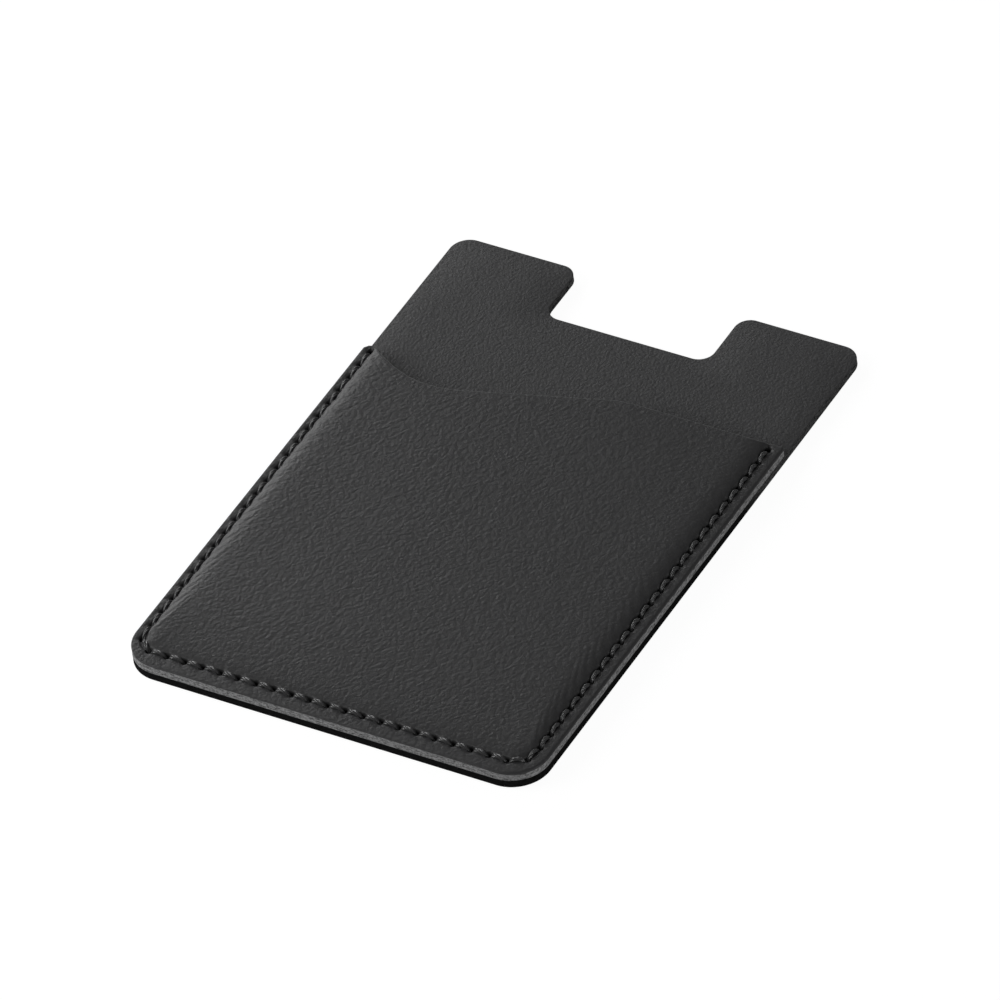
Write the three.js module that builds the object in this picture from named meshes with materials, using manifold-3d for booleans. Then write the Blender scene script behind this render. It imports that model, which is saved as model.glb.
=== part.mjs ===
// Stick-on card holder for the back of a phone, in millimetres, lying face up.
// Two sheets of synthetic leather are sewn together on three sides. The lower sheet has a thumb notch
// in its upper edge, the upper sheet is moulded into a pocket with a wavy lip, and an adhesive pad
// under the lower sheet still carries its release liner.
// +X points right, +Y points to the open end, +Z points out of the front. The origin is the middle of
// the resting face.
import * as THREE from "three";
import { mergeGeometries, mergeVertices } from "three/addons/utils/BufferGeometryUtils.js";
import Module from "manifold-3d";

const wasm = await Module();
wasm.setup();

// Panels: the outline that both sheets share, and the sheets' own thicknesses.
const panelWidth = 62;
const panelLength = 92;
const panelCornerRadius = 5.2;
const baseThickness = 1.25;
const pocketThickness = 1.3;
const baseEdgeRoll = 0.12;
const pocketEdgeRoll = 0.24;

// Thumb notch in the upper edge of the base panel.
const notchWidth = 25;
const notchDepth = 10;
const notchCornerRadius = 2.2;
const earCornerRadius = 2.8;

// Lip of the pocket: heights above the panel's lower edge, and the two stretches that follow each other
// along it from the left, which are the fall to the dip and the rise to the crest. On the right the lip
// stands a little higher again where the sheet is sewn down flat.
const lipLeftHeight = 66.6;
const lipDipHeight = 61.8;
const lipCrestHeight = 68.9;
const lipFallLength = 11.6;
const lipRiseLength = 27.8;
const lipRiseEasing = 0.17;
const lipSewnRise = 0.9;
const lipLeftCornerRadius = 1;
const lipRightCornerRadius = 0.4;

// Moulded room for the cards, inside the seam. Its rounded shoulder is wider at the bottom.
const cardRoomHeight = 0.95;
const cardRoomSlope = 2.4;
const cardRoomBottomStretch = 2.8;

// Lockstitch seam on the left, lower and right sides.
const seamInsetLeft = 1.35;
const seamInsetRight = 1.9;
const seamInsetBottom = 2.5;
const seamCornerRadius = 2.6;
const seamLeftEndSetback = 0.98;
const seamRightEndSetback = 1.35;
const stitchPitch = 2.72;
const stitchSlant = 0.06;
const needleThreadDiameter = 0.44;
const bobbinThreadDiameter = 0.4;
const threadClearance = 0.04;
const grooveDepth = 0.25;
const grooveShoulder = 0.26;

// Adhesive pad and its liner, inside the seam on the back.
const padThickness = 0.4;
const padInset = 4.6;
const padTopSetback = 5;
const padCornerRadius = 3;
const linerThickness = 0.1;
const linerOverhang = 0.8;

// Levels of the stack, from the resting face up.
const baseBottom = linerThickness + padThickness;
const baseTop = baseBottom + baseThickness;
const lockLevel = baseTop;

// Plan positions that several pieces share.
const leftEdge = -panelWidth / 2;
const rightEdge = panelWidth / 2;
const lowerEdge = -panelLength / 2;
const upperEdge = panelLength / 2;
const notchFloor = upperEdge - notchDepth;
const lipDip = leftEdge + lipLeftCornerRadius + lipFallLength;
const seamLeft = leftEdge + seamInsetLeft;
const seamRight = rightEdge - seamInsetRight;
const seamBottom = lowerEdge + seamInsetBottom;
const roomRight = seamRight - cardRoomSlope;

// Sizes that follow the thread.
const needleRadius = needleThreadDiameter / 2;
const bobbinRadius = bobbinThreadDiameter / 2;
const shoulderReach = 2.4 * Math.max(needleRadius, bobbinRadius);
const slotHalfLength = shoulderReach + 0.7 * Math.max(needleRadius, bobbinRadius);
const slotHalfWidth = Math.max(needleRadius, bobbinRadius) + stitchSlant + 1.5 * threadClearance;
const threadBed = needleRadius + stitchSlant + threadClearance;

// Fineness of the curves.
const cornerSegments = 8;
const slotEndSegments = 3;
const lipSegments = 26;

const coated = (color, roughness) => new THREE.MeshStandardMaterial({ color, roughness, metalness: 0 });

function positionOnly(geometry) {
  const plain = geometry.clone();
  plain.deleteAttribute("normal");
  plain.deleteAttribute("uv");
  return mergeVertices(plain, 1e-4);
}

function toSolid(geometry) {
  const merged = positionOnly(geometry);
  return new wasm.Manifold(
    new wasm.Mesh({
      numProp: 3,
      vertProperties: new Float32Array(merged.attributes.position.array),
      triVerts: new Uint32Array(merged.index.array),
    }),
  );
}

function toGeometry(solid) {
  const { vertProperties, triVerts } = solid.getMesh();
  const geometry = new THREE.BufferGeometry();
  geometry.setAttribute("position", new THREE.BufferAttribute(new Float32Array(vertProperties), 3));
  geometry.setIndex(new THREE.BufferAttribute(new Uint32Array(triVerts), 1));
  geometry.computeVertexNormals();
  return geometry;
}

function roundedRectangle(left, bottom, right, top, radius) {
  const shape = new THREE.Shape();
  shape.moveTo(left + radius, bottom);
  shape.lineTo(right - radius, bottom);
  shape.absarc(right - radius, bottom + radius, radius, -Math.PI / 2, 0, false);
  shape.lineTo(right, top - radius);
  shape.absarc(right - radius, top - radius, radius, 0, Math.PI / 2, false);
  shape.lineTo(left + radius, top);
  shape.absarc(left + radius, top - radius, radius, Math.PI / 2, Math.PI, false);
  shape.lineTo(left, bottom + radius);
  shape.absarc(left + radius, bottom + radius, radius, Math.PI, 1.5 * Math.PI, false);
  return shape;
}

// The base panel's outline: a rounded rectangle whose upper edge has a notch between two ears.
function basePanelOutline() {
  const corner = panelCornerRadius;
  const ear = earCornerRadius;
  const inner = notchCornerRadius;
  const notchSide = notchWidth / 2;
  const shape = new THREE.Shape();
  shape.moveTo(leftEdge + corner, lowerEdge);
  shape.lineTo(rightEdge - corner, lowerEdge);
  shape.absarc(rightEdge - corner, lowerEdge + corner, corner, -Math.PI / 2, 0, false);
  shape.lineTo(rightEdge, upperEdge - ear);
  shape.absarc(rightEdge - ear, upperEdge - ear, ear, 0, Math.PI / 2, false);
  shape.lineTo(notchSide + inner, upperEdge);
  shape.absarc(notchSide + inner, upperEdge - inner, inner, Math.PI / 2, Math.PI, false);
  shape.lineTo(notchSide, notchFloor + inner);
  shape.absarc(notchSide - inner, notchFloor + inner, inner, 0, -Math.PI / 2, true);
  shape.lineTo(inner - notchSide, notchFloor);
  shape.absarc(inner - notchSide, notchFloor + inner, inner, -Math.PI / 2, -Math.PI, true);
  shape.lineTo(-notchSide, upperEdge - inner);
  shape.absarc(-notchSide - inner, upperEdge - inner, inner, 0, Math.PI / 2, false);
  shape.lineTo(leftEdge + ear, upperEdge);
  shape.absarc(leftEdge + ear, upperEdge - ear, ear, Math.PI / 2, Math.PI, false);
  shape.lineTo(leftEdge, lowerEdge + corner);
  shape.absarc(leftEdge + corner, lowerEdge + corner, corner, Math.PI, 1.5 * Math.PI, false);
  return shape;
}

// A ramp from 0 to 1 with a straight middle and a round bend at each end.
function easedRamp(t, easing) {
  const bend = 1 / (2 * easing * (1 - easing));
  if (t < easing) return bend * t * t;
  if (t > 1 - easing) return 1 - bend * (1 - t) * (1 - t);
  return bend * easing * (2 * t - easing);
}

// The lip's place along Y for a place along X: a fall from the left end to the dip, a straight rise to
// the crest, and the crest on to the right end, with both ends rounded off.
function lipY(x) {
  const leftDrop = cornerDrop(x - leftEdge, lipLeftCornerRadius);
  const rightDrop = cornerDrop(rightEdge - x, lipRightCornerRadius);
  const sewn = lipSewnRise * THREE.MathUtils.smoothstep(x, roomRight, seamRight);
  const left = THREE.MathUtils.clamp((lipDip - x) / lipFallLength, 0, 1);
  const fall = (lipLeftHeight - lipDipHeight) * left * left;
  const along = THREE.MathUtils.clamp((x - lipDip) / lipRiseLength, 0, 1);
  const rise = (lipCrestHeight - lipDipHeight) * easedRamp(along, lipRiseEasing);
  return lowerEdge + lipDipHeight + fall + rise + sewn - leftDrop - rightDrop;
}

// How far a rounded corner lies under its straight edge, at a distance in from the side.
function cornerDrop(inset, radius) {
  const gap = Math.max(radius - inset, 0);
  return radius - Math.sqrt(radius * radius - gap * gap);
}

// The seam line in plan, from the lip's left end round to its right end.
function seamLine() {
  const radius = seamCornerRadius;
  const path = new THREE.Path();
  path.moveTo(seamLeft, lipY(seamLeft) - seamLeftEndSetback);
  path.lineTo(seamLeft, seamBottom + radius);
  path.absarc(seamLeft + radius, seamBottom + radius, radius, Math.PI, 1.5 * Math.PI, false);
  path.lineTo(seamRight - radius, seamBottom);
  path.absarc(seamRight - radius, seamBottom + radius, radius, -Math.PI / 2, 0, false);
  path.lineTo(seamRight, lipY(seamRight) - seamRightEndSetback);
  return path;
}

const seam = seamLine();
const stitchCount = Math.round(seam.getLength() / stitchPitch);
const stitchLength = seam.getLength() / stitchCount;

// One narrow slot where the needle went through, long along the seam, with a round end each way.
function stitchSlot(place, bottom, top) {
  const straight = slotHalfLength - slotHalfWidth;
  const rim = [];
  for (const end of [1, -1]) {
    for (let i = 0; i <= slotEndSegments; i += 1) {
      const angle = Math.PI * (i / slotEndSegments - 0.5);
      const along = straight + slotHalfWidth * Math.cos(angle);
      rim.push(new THREE.Vector2(end * along, end * slotHalfWidth * Math.sin(angle)));
    }
  }
  const slot = new THREE.ExtrudeGeometry(new THREE.Shape(rim), { depth: top - bottom, bevelEnabled: false });
  const point = seam.getPoint(place);
  const tangent = seam.getTangent(place);
  slot.rotateZ(Math.atan2(tangent.y, tangent.x));
  return slot.translate(point.x, point.y, bottom);
}

function punchStitchHoles(geometry, bottom, top) {
  const slots = [];
  for (let i = 0; i <= stitchCount; i += 1) {
    slots.push(positionOnly(stitchSlot(i / stitchCount, bottom, top)));
  }
  const punched = toSolid(geometry).subtract(toSolid(mergeGeometries(slots)));
  return toGeometry(punched);
}

function basePanel() {
  const sheet = new THREE.ExtrudeGeometry(basePanelOutline(), {
    depth: baseThickness - 2 * baseEdgeRoll,
    bevelEnabled: true,
    bevelThickness: baseEdgeRoll,
    bevelSize: baseEdgeRoll,
    bevelOffset: -baseEdgeRoll,
    bevelSegments: 1,
    curveSegments: cornerSegments / 2,
  });
  sheet.translate(0, 0, baseEdgeRoll);
  const mesh = new THREE.Mesh(
    punchStitchHoles(sheet, -baseThickness, 2 * baseThickness),
    coated(0x2b2b2c, 0.62),
  );
  mesh.name = "base_panel";
  mesh.position.z = baseBottom;
  return mesh;
}

// The moulded section of the pocket panel, from its cut edge in to the flat over the cards. Each line
// of the section keeps its own distance from the left, lower and right edges, the height of the skin
// and the height of the underside.
function pocketSection() {
  const atEdge = (inset, top) => ({ left: inset, bottom: inset, right: inset, top, under: 0 });
  const atSeam = (offset, top, under, stretch = 1) => ({
    left: seamInsetLeft + offset,
    bottom: seamInsetBottom + offset * stretch,
    right: seamInsetRight + offset,
    top,
    under,
  });
  const section = [
    atEdge(0, pocketThickness - pocketEdgeRoll),
    atEdge(pocketEdgeRoll * 0.3, pocketThickness - pocketEdgeRoll * 0.3),
    atEdge(pocketEdgeRoll, pocketThickness),
    atSeam(-threadBed - grooveShoulder, pocketThickness, 0),
    atSeam(-threadBed, pocketThickness - grooveDepth, 0),
    atSeam(threadBed, pocketThickness - grooveDepth, 0),
    atSeam(threadBed + grooveShoulder, pocketThickness, 0),
  ];
  for (const part of [0.1, 0.3, 0.6, 1]) {
    const rise = cardRoomHeight * Math.sqrt(1 - (1 - part) ** 2);
    const offset = threadBed + grooveShoulder + cardRoomSlope * part;
    const stretch = THREE.MathUtils.lerp(1, cardRoomBottomStretch, part);
    section.push(atSeam(offset, pocketThickness + rise, rise, stretch));
  }
  return section;
}

// One line of the section drawn round the pocket: down the left side, along the bottom and up the right.
function sectionLine({ left, bottom, right }) {
  const x0 = leftEdge + left;
  const x1 = rightEdge - right;
  const y0 = lowerEdge + bottom;
  const radius = Math.max(panelCornerRadius - (left + bottom + right) / 3, pocketEdgeRoll);
  const line = [new THREE.Vector2(x0, lipY(x0))];
  for (let i = 0; i <= cornerSegments; i += 1) {
    const angle = Math.PI + (i / cornerSegments) * (Math.PI / 2);
    line.push(new THREE.Vector2(x0 + radius * (1 + Math.cos(angle)), y0 + radius * (1 + Math.sin(angle))));
  }
  for (let i = 0; i <= cornerSegments; i += 1) {
    const angle = 1.5 * Math.PI + (i / cornerSegments) * (Math.PI / 2);
    line.push(new THREE.Vector2(x1 + radius * (Math.cos(angle) - 1), y0 + radius * (1 + Math.sin(angle))));
  }
  line.push(new THREE.Vector2(x1, lipY(x1)));
  return line;
}

// The pocket panel as one moulded sheet: its skin, its underside, its cut edge and its lip.
function pocketSheet() {
  const section = pocketSection();
  const lines = section.map(sectionLine);
  const perLine = lines[0].length;
  const inmost = section[section.length - 1];
  const from = rightEdge - inmost.right;
  const to = leftEdge + inmost.left;
  const lip = [];
  for (let i = 1; i < lipSegments; i += 1) {
    const x = THREE.MathUtils.lerp(from, to, i / lipSegments);
    lip.push(new THREE.Vector2(x, lipY(x)));
  }
  const plan = lines.flat().concat(lip);
  const heights = section.flatMap((line) => Array(perLine).fill(line)).concat(lip.map(() => inmost));
  const skin = plan.map((p, i) => [p.x, p.y, heights[i].top]);
  const underside = plan.map((p, i) => [p.x, p.y, heights[i].under]);
  const below = plan.length;

  const faces = [];
  const both = (a, b, c) => faces.push(a, b, c, below + c, below + b, below + a);
  const wall = (a, b) => faces.push(below + a, below + b, b, below + a, b, a);
  for (let k = 0; k + 1 < lines.length; k += 1) {
    for (let j = 0; j + 1 < perLine; j += 1) {
      const outer = k * perLine + j;
      const inner = outer + perLine;
      both(outer, outer + 1, inner + 1);
      both(outer, inner + 1, inner);
    }
  }
  const lastLine = (lines.length - 1) * perLine;
  const flat = lines[lines.length - 1].map((_, j) => lastLine + j);
  lip.forEach((_, i) => flat.push(lines.length * perLine + i));
  const triangles = THREE.ShapeUtils.triangulateShape(flat.map((i) => plan[i]), []);
  triangles.forEach(([a, b, c]) => both(flat[a], flat[b], flat[c]));

  for (let j = 0; j + 1 < perLine; j += 1) wall(j, j + 1);
  const rightEnds = lines.map((_, k) => k * perLine + perLine - 1);
  const leftEnds = lines.map((_, k) => k * perLine).reverse();
  const mouth = [...rightEnds, ...lip.map((_, i) => lines.length * perLine + i), ...leftEnds];
  for (let i = 0; i + 1 < mouth.length; i += 1) wall(mouth[i], mouth[i + 1]);

  const sheet = new THREE.BufferGeometry();
  sheet.setAttribute("position", new THREE.Float32BufferAttribute([...skin, ...underside].flat(), 3));
  sheet.setIndex(faces);
  return sheet;
}

function pocketPanel() {
  const mesh = new THREE.Mesh(
    punchStitchHoles(pocketSheet(), -pocketThickness, 2 * pocketThickness),
    coated(0x262627, 0.55),
  );
  mesh.name = "pocket_panel";
  mesh.position.z = baseTop;
  return mesh;
}

// The run of one thread of the lockstitch: over the leather in each stitch and down to the lock in each
// hole. Stops are the rings of one stitch, each with its distance from the nearer hole and its height.
class LockstitchRun extends THREE.Curve {
  constructor(stops) {
    super();
    this.stops = stops;
    this.steps = stitchCount * stops.length;
  }

  getPoint(t, target = new THREE.Vector3()) {
    const ring = THREE.MathUtils.clamp(t, 0, 1) * this.steps;
    const whole = Math.min(Math.floor(ring), this.steps - 1);
    const from = this.ringAt(whole);
    return target.copy(from).lerp(this.ringAt(whole + 1), ring - whole);
  }

  ringAt(index) {
    const count = this.stops.length;
    const stop = this.stops[index % count];
    const place = (Math.floor(index / count) + stop.along / stitchLength) / stitchCount;
    const point = seam.getPoint(Math.min(place, 1));
    const tangent = seam.getTangent(Math.min(place, 1));
    const side = stop.along === 0 ? 0 : stitchSlant * (1 - (2 * stop.along) / stitchLength);
    return new THREE.Vector3(point.x - tangent.y * side, point.y + tangent.x * side, stop.level);
  }

  getPointAt(u, target) {
    return this.getPoint(u, target);
  }

  getTangentAt(u, target = new THREE.Vector3()) {
    const half = 0.5 / this.steps;
    const ahead = this.getPoint(Math.min(u + half, 1));
    return target.copy(ahead).sub(this.getPoint(Math.max(u - half, 0))).normalize();
  }
}

function sweepThread(stops, radius, sides) {
  const section = [];
  for (let i = 0; i < sides; i += 1) {
    const angle = (i / sides) * 2 * Math.PI;
    section.push(new THREE.Vector2(radius * Math.cos(angle), radius * Math.sin(angle)));
  }
  const run = new LockstitchRun(stops);
  return new THREE.ExtrudeGeometry(new THREE.Shape(section), {
    steps: run.steps,
    extrudePath: run,
    bevelEnabled: false,
  });
}

function needleThread() {
  const over = baseTop + pocketThickness - grooveDepth + needleRadius + threadClearance;
  const lock = lockLevel + needleRadius + threadClearance / 2;
  const rise = shoulderReach * 0.46;
  const slope = THREE.MathUtils.lerp(lock, over, 0.56);
  const stops = [
    { along: 0, level: lock },
    { along: rise, level: slope },
    { along: shoulderReach, level: over },
    { along: stitchLength - shoulderReach, level: over },
    { along: stitchLength - rise, level: slope },
  ];
  const mesh = new THREE.Mesh(sweepThread(stops, needleRadius, 6), coated(0x141414, 0.5));
  mesh.name = "needle_thread";
  return mesh;
}

function bobbinThread() {
  const under = baseBottom - bobbinRadius - threadClearance / 2;
  const lock = lockLevel - bobbinRadius - threadClearance / 2;
  const stops = [
    { along: 0, level: lock },
    { along: shoulderReach, level: under },
    { along: stitchLength - shoulderReach, level: under },
  ];
  const mesh = new THREE.Mesh(sweepThread(stops, bobbinRadius, 5), coated(0x171717, 0.5));
  mesh.name = "bobbin_thread";
  return mesh;
}

// A flat sheet inside the seam, under the pocket and clear of the notch.
function backSheet(name, overhang, thickness, material) {
  const outline = roundedRectangle(
    leftEdge + padInset - overhang,
    lowerEdge + padInset - overhang,
    rightEdge - padInset + overhang,
    notchFloor - padTopSetback + overhang,
    padCornerRadius + overhang,
  );
  const sheet = new THREE.ExtrudeGeometry(outline, {
    depth: thickness,
    bevelEnabled: false,
    curveSegments: cornerSegments / 2,
  });
  const mesh = new THREE.Mesh(sheet, material);
  mesh.name = name;
  return mesh;
}

function adhesivePad() {
  const mesh = backSheet("adhesive_pad", 0, padThickness, coated(0xb9b9b4, 0.4));
  mesh.position.z = linerThickness;
  return mesh;
}

function releaseLiner() {
  return backSheet("release_liner", linerOverhang, linerThickness, coated(0xe9e4d4, 0.45));
}

const sewnPocket = new THREE.Group();
sewnPocket.name = "sewn_pocket";
sewnPocket.add(basePanel(), pocketPanel(), needleThread(), bobbinThread());

const stickyBack = new THREE.Group();
stickyBack.name = "sticky_back";
stickyBack.add(adhesivePad(), releaseLiner());

const group = new THREE.Group();
group.name = "stick_on_card_holder";
group.add(sewnPocket, stickyBack);

export default group;
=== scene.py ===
"""Dresses the stick-on card holder: two sheets of synthetic leather, their seam and the sticky back.

Lengths are written in millimetres, as a leather worker would give them, and are turned into metres
where a mesh is made. +X points right, +Y to the open end and +Z out of the front.
"""

from __future__ import annotations

import logging
import math
from collections.abc import Iterable, Mapping, Sequence
from dataclasses import dataclass, field
from enum import Enum
from typing import Any

import bpy
import numpy as np
from mathutils import Matrix, Vector
from mathutils.geometry import delaunay_2d_cdt

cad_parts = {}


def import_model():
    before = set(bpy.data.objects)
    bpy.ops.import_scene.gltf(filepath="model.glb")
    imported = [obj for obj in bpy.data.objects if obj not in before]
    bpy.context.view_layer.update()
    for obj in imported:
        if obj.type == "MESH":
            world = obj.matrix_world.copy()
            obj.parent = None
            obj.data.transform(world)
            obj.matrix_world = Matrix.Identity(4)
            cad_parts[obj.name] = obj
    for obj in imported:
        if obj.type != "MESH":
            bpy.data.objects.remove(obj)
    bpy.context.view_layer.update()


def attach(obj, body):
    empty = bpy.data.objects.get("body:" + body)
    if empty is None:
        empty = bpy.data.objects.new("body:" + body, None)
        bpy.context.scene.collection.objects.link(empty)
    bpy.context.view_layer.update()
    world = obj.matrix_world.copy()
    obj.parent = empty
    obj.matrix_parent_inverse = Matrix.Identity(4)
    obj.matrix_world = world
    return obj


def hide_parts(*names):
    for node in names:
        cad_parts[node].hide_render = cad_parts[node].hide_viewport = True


MM = 0.001
BLACK = (0.0, 0.0, 0.0)
WHITE = (1.0, 1.0, 1.0)
ROOT = "root"
RUN = "run"

log = logging.getLogger("card_holder")


class Finish(Enum):
    """The places of the finishes on a leather sheet's mesh."""

    SKIN = 0
    CUT_EDGE = 1
    BACKING = 2


class Signal:
    """A socket's value, which takes part in Python sums by adding Math nodes."""

    def __init__(self, bench: NodeBench, socket: bpy.types.NodeSocket) -> None:
        """Wraps one output socket of the bench's tree."""
        self.bench = bench
        self.socket = socket

    def _sum(self, operation: str, *values: Any) -> Signal:
        """Adds a Math node that works on the values in turn."""
        node = self.bench.add("ShaderNodeMath", {"operation": operation}, dict(enumerate(values)))
        return self.bench.out(node)

    def __add__(self, other: Any) -> Signal:
        """The sum of two values."""
        return self._sum("ADD", self, other)

    def __radd__(self, other: Any) -> Signal:
        """The sum of two values."""
        return self._sum("ADD", other, self)

    def __sub__(self, other: Any) -> Signal:
        """The difference of two values."""
        return self._sum("SUBTRACT", self, other)

    def __rsub__(self, other: Any) -> Signal:
        """The difference of two values, the other way round."""
        return self._sum("SUBTRACT", other, self)

    def __mul__(self, other: Any) -> Signal:
        """The product of two values."""
        return self._sum("MULTIPLY", self, other)

    def __rmul__(self, other: Any) -> Signal:
        """The product of two values."""
        return self._sum("MULTIPLY", other, self)

    def __truediv__(self, other: Any) -> Signal:
        """The ratio of two values."""
        return self._sum("DIVIDE", self, other)

    def __pow__(self, other: Any) -> Signal:
        """The value raised to a power."""
        return self._sum("POWER", self, other)

    def size(self) -> Signal:
        """The value without its sign."""
        return self._sum("ABSOLUTE", self)

    def at_least(self, least: float) -> Signal:
        """The larger of the value and a limit."""
        return self._sum("MAXIMUM", self, least)

    def cosine(self) -> Signal:
        """The cosine of an angle in radians."""
        return self._sum("COSINE", self)

    def sine(self) -> Signal:
        """The sine of an angle in radians."""
        return self._sum("SINE", self)

    def ramp(self, start: float, end: float) -> Signal:
        """A smooth step from 0 at start to 1 at end.

        Args:
            start: The value where the step begins.
            end: The value where the step is complete, which may be the smaller one.

        Returns:
            The step, held between 0 and 1.
        """
        low, high = (start, end) if start < end else (end, start)
        node = self.bench.add(
            "ShaderNodeMapRange",
            {"interpolation_type": "SMOOTHSTEP", "clamp": True},
            {"Value": self, "From Min": low, "From Max": high},
        )
        step = self.bench.out(node)
        return step if start < end else 1 - step


class NodeBench:
    """Adds nodes to one tree, each from its type, its settings and the values of its sockets."""

    def __init__(self, tree: bpy.types.NodeTree) -> None:
        """Works on the given node tree."""
        self.tree = tree

    def add(
        self,
        kind: str,
        settings: Mapping[str, Any] | None = None,
        values: Mapping[str | int, Any] | None = None,
    ) -> bpy.types.Node:
        """Adds a node, sets it up and fills or links its sockets.

        Args:
            kind: The node's type name.
            settings: The node's own properties.
            values: A number, a vector, a Signal or a list of Signals for each socket.

        Returns:
            The new node.
        """
        node = self.tree.nodes.new(kind)
        for name, value in (settings or {}).items():
            setattr(node, name, value)
        for name, value in (values or {}).items():
            self._fill(self._socket(node, name), value)
        return node

    @staticmethod
    def _socket(node: bpy.types.Node, name: str | int) -> bpy.types.NodeSocket:
        """Finds an input socket by its number, or by its name among those in use."""
        if isinstance(name, int):
            return node.inputs[name]
        return next(s for s in node.inputs if s.name == name and s.enabled)

    def _fill(self, socket: bpy.types.NodeSocket, value: Any) -> None:
        """Links a Signal or several to a socket, or sets its own value."""
        several = value if isinstance(value, list) else [value]
        if isinstance(several[0], Signal):
            for signal in several:
                self.tree.links.new(signal.socket, socket)
            return
        if isinstance(value, tuple) and socket.type == "RGBA" and len(value) == 3:
            value = (*value, 1.0)
        socket.default_value = value

    def out(self, node: bpy.types.Node, name: str | int = 0) -> Signal:
        """One output of a node, by its number or by its name among those in use."""
        if isinstance(name, int):
            found = [s for s in node.outputs if s.enabled][name]
        else:
            found = next(s for s in node.outputs if s.name == name and s.enabled)
        return Signal(self, found)

    def get(self, kind: str, *args: Any, output: str | int = 0) -> Signal:
        """Adds a node and gives one of its outputs."""
        return self.out(self.add(kind, *args), output)

    def vector(self, operation: str, *values: Any, scale: float | Signal | None = None) -> Signal:
        """Adds a Vector Math node."""
        sockets: dict[str | int, Any] = dict(enumerate(values))
        if scale is not None:
            sockets["Scale"] = scale
        return self.get("ShaderNodeVectorMath", {"operation": operation}, sockets)

    def colour(self, factor: Any, first: Any, second: Any) -> Signal:
        """Mixes two colours.

        Args:
            factor: How much of the second one shows.
            first: A colour or a Signal.
            second: A colour or a Signal.

        Returns:
            The mixed colour.
        """
        settings = {"data_type": "RGBA", "blend_type": "MIX", "clamp_factor": True}
        return self.get("ShaderNodeMix", settings, {"Factor": factor, "A": first, "B": second})

    def tint(self, tone: Signal, colour: Sequence[float]) -> Signal:
        """A colour at a varying brightness: a tone of 0.5 gives the colour itself."""
        return self.colour(tone, BLACK, tuple(2.0 * c for c in colour))

    def noise(self, place: Signal, scale: float, detail: float = 2.0, rough: float = 0.5) -> Signal:
        """Adds a noise texture, about 0.5 on average."""
        values = {"Vector": place, "Scale": scale, "Detail": detail, "Roughness": rough}
        return self.get("ShaderNodeTexNoise", None, values, output="Fac")

    def cells(self, place: Signal, scale: float) -> Signal:
        """Adds a Voronoi texture and gives the distance to its cells' middles."""
        values = {"Vector": place, "Scale": scale}
        return self.get("ShaderNodeTexVoronoi", {"feature": "F1"}, values, output="Distance")

    def bump(self, height: Signal, depth: float, strength: float, normal: Signal | None = None) -> Signal:
        """Bends the normal by heights.

        Args:
            height: The heights.
            depth: What a height of 1 stands for, in millimetres.
            strength: How much of it shows, from 0 to 1.
            normal: A normal to start from.

        Returns:
            The bent normal.
        """
        values: dict[str | int, Any] = {"Strength": strength, "Distance": depth * MM, "Height": height}
        if normal is not None:
            values["Normal"] = normal
        return self.get("ShaderNodeBump", None, values)


@dataclass(frozen=True)
class Surface:
    """Starts a material whose places are in millimetres, and ends it with a Principled shader.

    Attributes:
        name: The material's name.
    """

    name: str

    def start(self) -> tuple[bpy.types.Material, NodeBench, Signal]:
        """Makes an empty material.

        Returns:
            The material, its node bench and the place on the piece in millimetres.
        """
        material = bpy.data.materials.new(self.name)
        material.use_nodes = True
        material.node_tree.nodes.clear()
        bench = NodeBench(material.node_tree)
        place = bench.get("ShaderNodeTexCoord", output="Object")
        return material, bench, bench.vector("SCALE", place, scale=1 / MM)

    @staticmethod
    def run(bench: NodeBench) -> tuple[Signal, Signal, Signal]:
        """What the sheets store at each point.

        Args:
            bench: The material's node bench.

        Returns:
            The distance along the edge and the height in the sheet in millimetres, and how far down a
            needle hole the point lies, from 0 to 1, where shade is painted, or down to -1 on the lip's rim,
            where a highlight is painted.
        """
        stored = bench.get("ShaderNodeAttribute", {"attribute_name": RUN}, output="Vector")
        parts = bench.add("ShaderNodeSeparateXYZ", None, {0: stored})
        return bench.out(parts, 0), bench.out(parts, 1), bench.out(parts, 2)

    @staticmethod
    def finish(bench: NodeBench, values: Mapping[str, Any]) -> None:
        """Ends the material with a Principled shader that has the given sockets."""
        shader = bench.get("ShaderNodeBsdfPrincipled", None, values)
        bench.add("ShaderNodeOutputMaterial", None, {"Surface": shader})


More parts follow.
